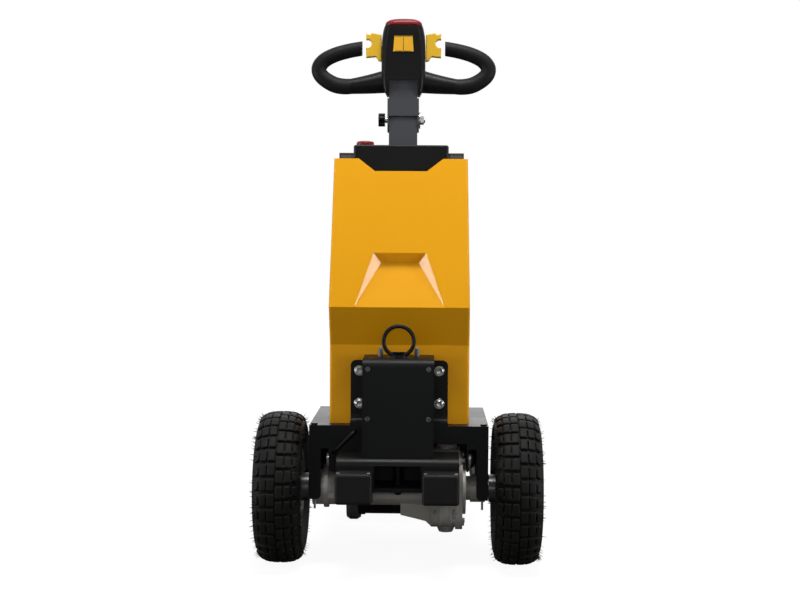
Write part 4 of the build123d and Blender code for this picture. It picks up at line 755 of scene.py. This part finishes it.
# %% Gear case cap
CAP_PLACE = (103.0, -144.0)
CAP_RADIUS = 22.0
CAP_WAVES = 48
CASE_SCREWS_X = (79.0, 120.0)
CASE_SCREWS_Z = 118.0
case_low, case_high = box_mm("gear_case")
knurl = [(-8.0, 0), (-8.0, CAP_RADIUS, 0, 1), (-0.8, CAP_RADIUS, 0, 1), (0.4, CAP_RADIUS - 1.6), (0.4, 15.0),
         (-0.8, 14.0), (-0.8, 0)]
forms = [lathe(knurl, (*CAP_PLACE, case_high[2]), "z", 6 * CAP_WAVES, waves=CAP_WAVES, wave=0.5)]
hexagon_head = [(2, 0), (2, 4.4), (-3.2, 4.4, 1), (-4.0, 3.6, 1), (-4.0, 0)]
forms += [lathe(hexagon_head, (x, case_low[1], CASE_SCREWS_Z)) for x in CASE_SCREWS_X]
cap = piece("gear_cap_and_screws", *many(forms), "frame", "cast_aluminium", FINISH["bright_cast"])
smooth_by_angle(cap)
print("cap faces", len(cap.data.polygons))


# %% [markdown]
# ## Grips
# The two grips are soft sleeves on a bent tube. Their line is one smooth curve with no straight runs, so it
# is a cubic spline through a few places rather than runs with round corners. A ring of points is carried
# along it, in the plane across the line, and the ring's radius swells a little towards the outer bend. The
# free end is cut upright.

# %% Grips
GRIP_LINE = (  # x, z and radius along the line, from the arm to the free end
    (119.0, 1049.3, 17.7), (138.0, 1049.2, 18.2), (157.0, 1052.5, 18.4), (175.0, 1061.5, 18.1),
    (189.0, 1073.0, 17.7), (194.8, 1086.0, 17.5), (191.5, 1098.5, 17.3), (178.0, 1111.5, 17.0),
    (153.0, 1123.0, 16.8), (123.0, 1131.0, 16.6), (95.0, 1136.0, 16.5),
)
GRIP_STEPS = 96
GRIP_ROUND = 40


def smooth_line(points, steps):
    """Catmull-Rom curve: between two places, a cubic whose slopes come from the places on each side."""
    points = np.asarray(points, float)
    padded = np.concatenate([[2 * points[0] - points[1]], points, [2 * points[-1] - points[-2]]])
    u = np.linspace(0, len(points) - 1, steps)
    k = np.minimum(u.astype(int), len(points) - 2)
    t = (u - k)[:, None]
    a, b, c, d = (padded[k + i] for i in range(4))
    bend = (2 * a - 5 * b + 4 * c - d) * t ** 2
    twist = (3 * b - a - 3 * c + d) * t ** 3
    return 0.5 * (2 * b + (c - a) * t + bend + twist)


def grip_tube(side, depth_y):
    """Rings across a smooth line in an upright plane, closed by a point at each end."""
    line = smooth_line(GRIP_LINE, GRIP_STEPS)
    slope = np.gradient(line[:, :2], axis=0)
    slope /= np.linalg.norm(slope, axis=1, keepdims=True)
    slope[-1] = slope[-2] = (-1.0, 0.0)
    last = GRIP_STEPS - 1
    rings = [(0, 0.0), (0, 0.9)] + [(k, 1.0) for k in range(1, GRIP_STEPS)] + [(last, 0.88), (last, 0.0)]
    index = np.array([k for k, share in rings])
    share = np.array([share for k, share in rings])
    turn = np.linspace(0, 2 * np.pi, GRIP_ROUND, endpoint=False)
    reach = (line[index, 2] * share)[:, None]
    x = line[index, 0][:, None] - slope[index, 1][:, None] * reach * np.cos(turn)
    z = line[index, 1][:, None] + slope[index, 0][:, None] * reach * np.cos(turn)
    y = depth_y + reach * np.sin(turn)
    return np.stack([side * x, y, z], -1) * MM, grid_faces(len(index), GRIP_ROUND, wrap_columns=True)


for side, name in ((-1, "left"), (1, "right")):
    grip_low, grip_high = box_mm(f"grip_{name}")
    grip = piece(f"grip_{name}_sleeve", *grip_tube(side, (grip_low[1] + grip_high[1]) / 2), "tiller",
                 "grip_rubber", FINISH["grip_rubber"])
    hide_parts(f"grip_{name}")
    smooth_by_angle(grip, 50)
    print(name, "grip, CAD box", grip_low.round(1), grip_high.round(1))


# %% [markdown]
# ## Safety button and label
# The red button on top of the head is a long soft dome. Its plan is a superellipse, which is a rectangle
# with full corners, and each ring shrinks by a sine while it rises by a cosine. The blank label below it
# has a thin line down its middle and one along its top and its bottom, as printed labels have.

# %% Button and label
DOME_FOOT = 4.0           # the button's upright lower edge


def dome(name, power=3.2, rings=18, steps=72):
    """Superellipse rings over a node's own box: radius share sin(w)^0.75 and height share cos(w)."""
    low, high = box_mm(name)
    w = np.concatenate([[np.pi / 2] * 2, np.linspace(np.pi / 2, 0, rings)])
    share = np.sin(w) ** 0.75
    share[0] = 0.0
    rise = low[2] + DOME_FOOT + (high[2] - low[2] - DOME_FOOT) * np.cos(w)
    rise[:2] = low[2]
    t = np.linspace(0, 2 * np.pi, steps, endpoint=False)[:, None]
    half = (high - low) / 2
    middle = (high + low) / 2
    x = middle[0] + half[0] * share * np.sign(np.cos(t)) * np.abs(np.cos(t)) ** (2 / power)
    y = middle[1] + half[1] * share * np.sign(np.sin(t)) * np.abs(np.sin(t)) ** (2 / power)
    z = np.broadcast_to(rise, x.shape)
    return np.stack([x, y, z], -1) * MM, grid_faces(steps, len(w), wrap_rows=True)


button = piece("button_dome", *dome("belly_button"), "tiller", "red_plastic", FINISH["red_plastic"])
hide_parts("belly_button")


def slab(low, high, edge):
    """A box from its lowest to its highest corner, with round upright edges and bevelled ends."""
    low, high = np.asarray(low, float), np.asarray(high, float)
    half, middle = (high - low) / 2, (high + low) / 2
    corner = np.array([(-1, -1), (1, -1), (1, 1), (-1, 1)])
    start = np.repeat(corner * (half[:2] - edge), 4, axis=0)
    quarter = np.radians(np.repeat([180, 270, 0, 90], 4) + np.tile([0, 30, 60, 90], 4))
    plan = start + edge * np.stack([np.cos(quarter), np.sin(quarter)], 1)
    inner = plan * (half[:2] - edge) / half[:2]
    rings = [(inner * 0, -half[2]), (inner, -half[2]), (plan, -half[2] + edge), (plan, half[2] - edge),
             (inner, half[2]), (inner * 0, half[2])]
    points = np.stack([np.column_stack([flat, np.full(len(flat), z)]) for flat, z in rings]) + middle
    return points * MM, grid_faces(len(rings), len(plan), wrap_columns=True)


LINE_PROUD = 0.3
LINE_SUNK = 0.4
LINE_HALF = 18.5
label_low, label_high = box_mm("label_plate")
front, back = label_low[1] - LINE_PROUD, label_low[1] + LINE_SUNK
bars = [slab((-0.5, front, label_low[2] + 2), (0.5, back, label_high[2] - 2), 0.2)]
for z in (label_low[2] + 1.2, label_high[2] - 1.2):
    bars.append(slab((-LINE_HALF, front, z - 0.4), (LINE_HALF, back, z + 0.4), 0.2))
label_lines = piece("label_lines", *many(bars), "tiller", "black_plastic", FINISH["black_plastic"])
print("button faces", len(button.data.polygons), "label faces", len(label_lines.data.polygons))


# %% [markdown]
# ## Trim at the console and the buffers
# The rear housing is open towards the front, so a narrow folded strip closes it on each side of the
# console. Each buffer block has a small screw at its two upper corners.

# %% Small trim
CONSOLE_GAP = 0.8
HOUSING_WALL = 3.4        # the housing's own sheet and the air beside the strip
STRIP_DEPTH = (0.5, 2.5)  # behind the housing's front edge
STRIP_DROP = 30.0         # how far a strip goes down behind the cover's top
STRIP_TOP_GAP = 3.2
housing_low, housing_high = box_mm("rear_housing")
console_side = box_mm("console")[1][0] + CONSOLE_GAP
housing_side = housing_high[0] - HOUSING_WALL
cover_top = box_mm("body_cover")[1][2]
forms = []
for side in (-1, 1):
    near, far = sorted((side * console_side, side * housing_side))
    forms.append(slab((near, housing_low[1] + STRIP_DEPTH[0], cover_top - STRIP_DROP),
                      (far, housing_low[1] + STRIP_DEPTH[1], housing_high[2] - STRIP_TOP_GAP), 0.8))
strips = piece("housing_front_strips", *many(forms), "frame", "grey_paint", FINISH["grey_paint"])

BLOCK_SCREWS_X = (58.0, 120.0)
BLOCK_SCREWS_BACK = 9.0
block_low, block_high = box_mm("buffer_blocks")
low_head = [(1.5, 0), (1.5, 3.4), (-1.6, 3.4), (-2.2, 2.6), (-2.2, 0)]
block_y = block_low[1] + BLOCK_SCREWS_BACK
places = [(way * x, block_y, block_high[2]) for way in (-1, 1) for x in BLOCK_SCREWS_X]
forms = [lathe(low_head, place, "z", 20) for place in places]
corner_screws = piece("buffer_screws", *many(forms), "frame", "steel", FINISH["dull_zinc"])
print("strips", len(strips.data.polygons), "screws", len(corner_screws.data.polygons))


# %% [markdown]
# ## Key switch
# The key switch is a low round barrel with a sunk face, and a short key with a flat bow stands in it. The
# barrel is turned, and the bow is a thin slab.

# %% Key switch
KEY_HEIGHT = 19.0         # from the barrel's face to the top of the CAD switch
BOW_HALF = 9.0
BOW_THIN = 1.2
BOW_RISE = 9.5
key_low, key_high = box_mm("key_switch")
key_x, key_y = (key_low[0] + key_high[0]) / 2, (key_low[1] + key_high[1]) / 2
barrel_top = key_high[2] - KEY_HEIGHT
barrel = [(-8, 0), (-8, 12.0), (-1.0, 12.0), (0.0, 11.0), (0.0, 7.4), (-1.2, 6.8), (-1.2, 0)]
bow = slab((key_x - BOW_THIN, key_y - BOW_HALF, barrel_top - 2),
           (key_x + BOW_THIN, key_y + BOW_HALF, barrel_top + BOW_RISE), 1.0)
key_form = many([lathe(barrel, (key_x, key_y, barrel_top), "z"), bow])
key = piece("key_and_barrel", *key_form, "frame", "black_plastic", FINISH["black_plastic"])
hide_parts("key_switch")
smooth_by_angle(key)
print("key faces", len(key.data.polygons))


# %% [markdown]
# ## Neck of the tow pin
# The ring of the tow pin is welded to a small flared neck on the pin's head, and it lifts with the pin. It
# is a turned form pressed flat from front to back, to the ring's own thickness.

# %% Pin neck
NECK_PRESS = 0.42
pin_low, pin_high = box_mm("tow_pin")
saddle = [(4.0, 0), (4.0, 7.5), (7.0, 8.0), (10.0, 11.5), (12.0, 15.0), (10.5, 12.0), (9.0, 0)]
points, faces = lathe(saddle, (0, 0, tower_high[2]), "z", 32)
neck_y = (pin_low[1] + pin_high[1]) / 2 * MM
neck_points = points * (1, NECK_PRESS, 1) + (0, neck_y, 0)
neck = piece("pin_neck", neck_points, faces, "tow_pin", "pin_steel", FINISH["pin_steel"])
smooth_by_angle(neck, 50)
print("neck faces", len(neck.data.polygons))


# %% [markdown]
# ## Cover
# The cover is one folded sheet with a shallow sunk panel in its nose. A pressed panel like this is not
# deep, and its narrow side walls face well outwards, so they catch the light from the sides. This cover is
# a copy of the CAD sheet, merged into one shell, in which the upper edge of the panel's floor is lifted.
# The floor and the side walls stay flat, because each of them ends in that edge.

# %% Cover
PANEL_HALF = 60.0                # the upper edge of the panel's floor lies inside these limits
PANEL_Y = (-185.0, -150.0)
PANEL_Z = (636.0, 660.0)
PANEL_LIFT = 14.0


def shallow_cover():
    """Merged copy of the CAD cover, with the upper edge of the panel's floor moved forward."""
    mesh = NODES["body_cover"].data.copy()
    shell = bmesh.new()
    shell.from_mesh(mesh)
    bmesh.ops.remove_doubles(shell, verts=shell.verts, dist=1e-6)
    shell.to_mesh(mesh)
    shell.free()
    place = np.empty(3 * len(mesh.vertices))
    mesh.vertices.foreach_get("co", place)
    place = place.reshape(-1, 3) / MM
    low = np.array([-PANEL_HALF, PANEL_Y[0], PANEL_Z[0]])
    high = np.array([PANEL_HALF, PANEL_Y[1], PANEL_Z[1]])
    edge = np.all((place > low) & (place < high), axis=1)
    place[edge, 1] -= PANEL_LIFT
    faces = np.array([face.vertices[:] for face in mesh.polygons])
    bpy.data.meshes.remove(mesh)
    return place * MM, faces, int(edge.sum())


points, faces, moved = shallow_cover()
cover = piece("cover_sheet", points, faces, "frame", "cover_paint", FINISH["cover_paint"])
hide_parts("body_cover")
smooth_by_angle(cover, 25)
print("cover faces", len(cover.data.polygons), "points moved", moved)
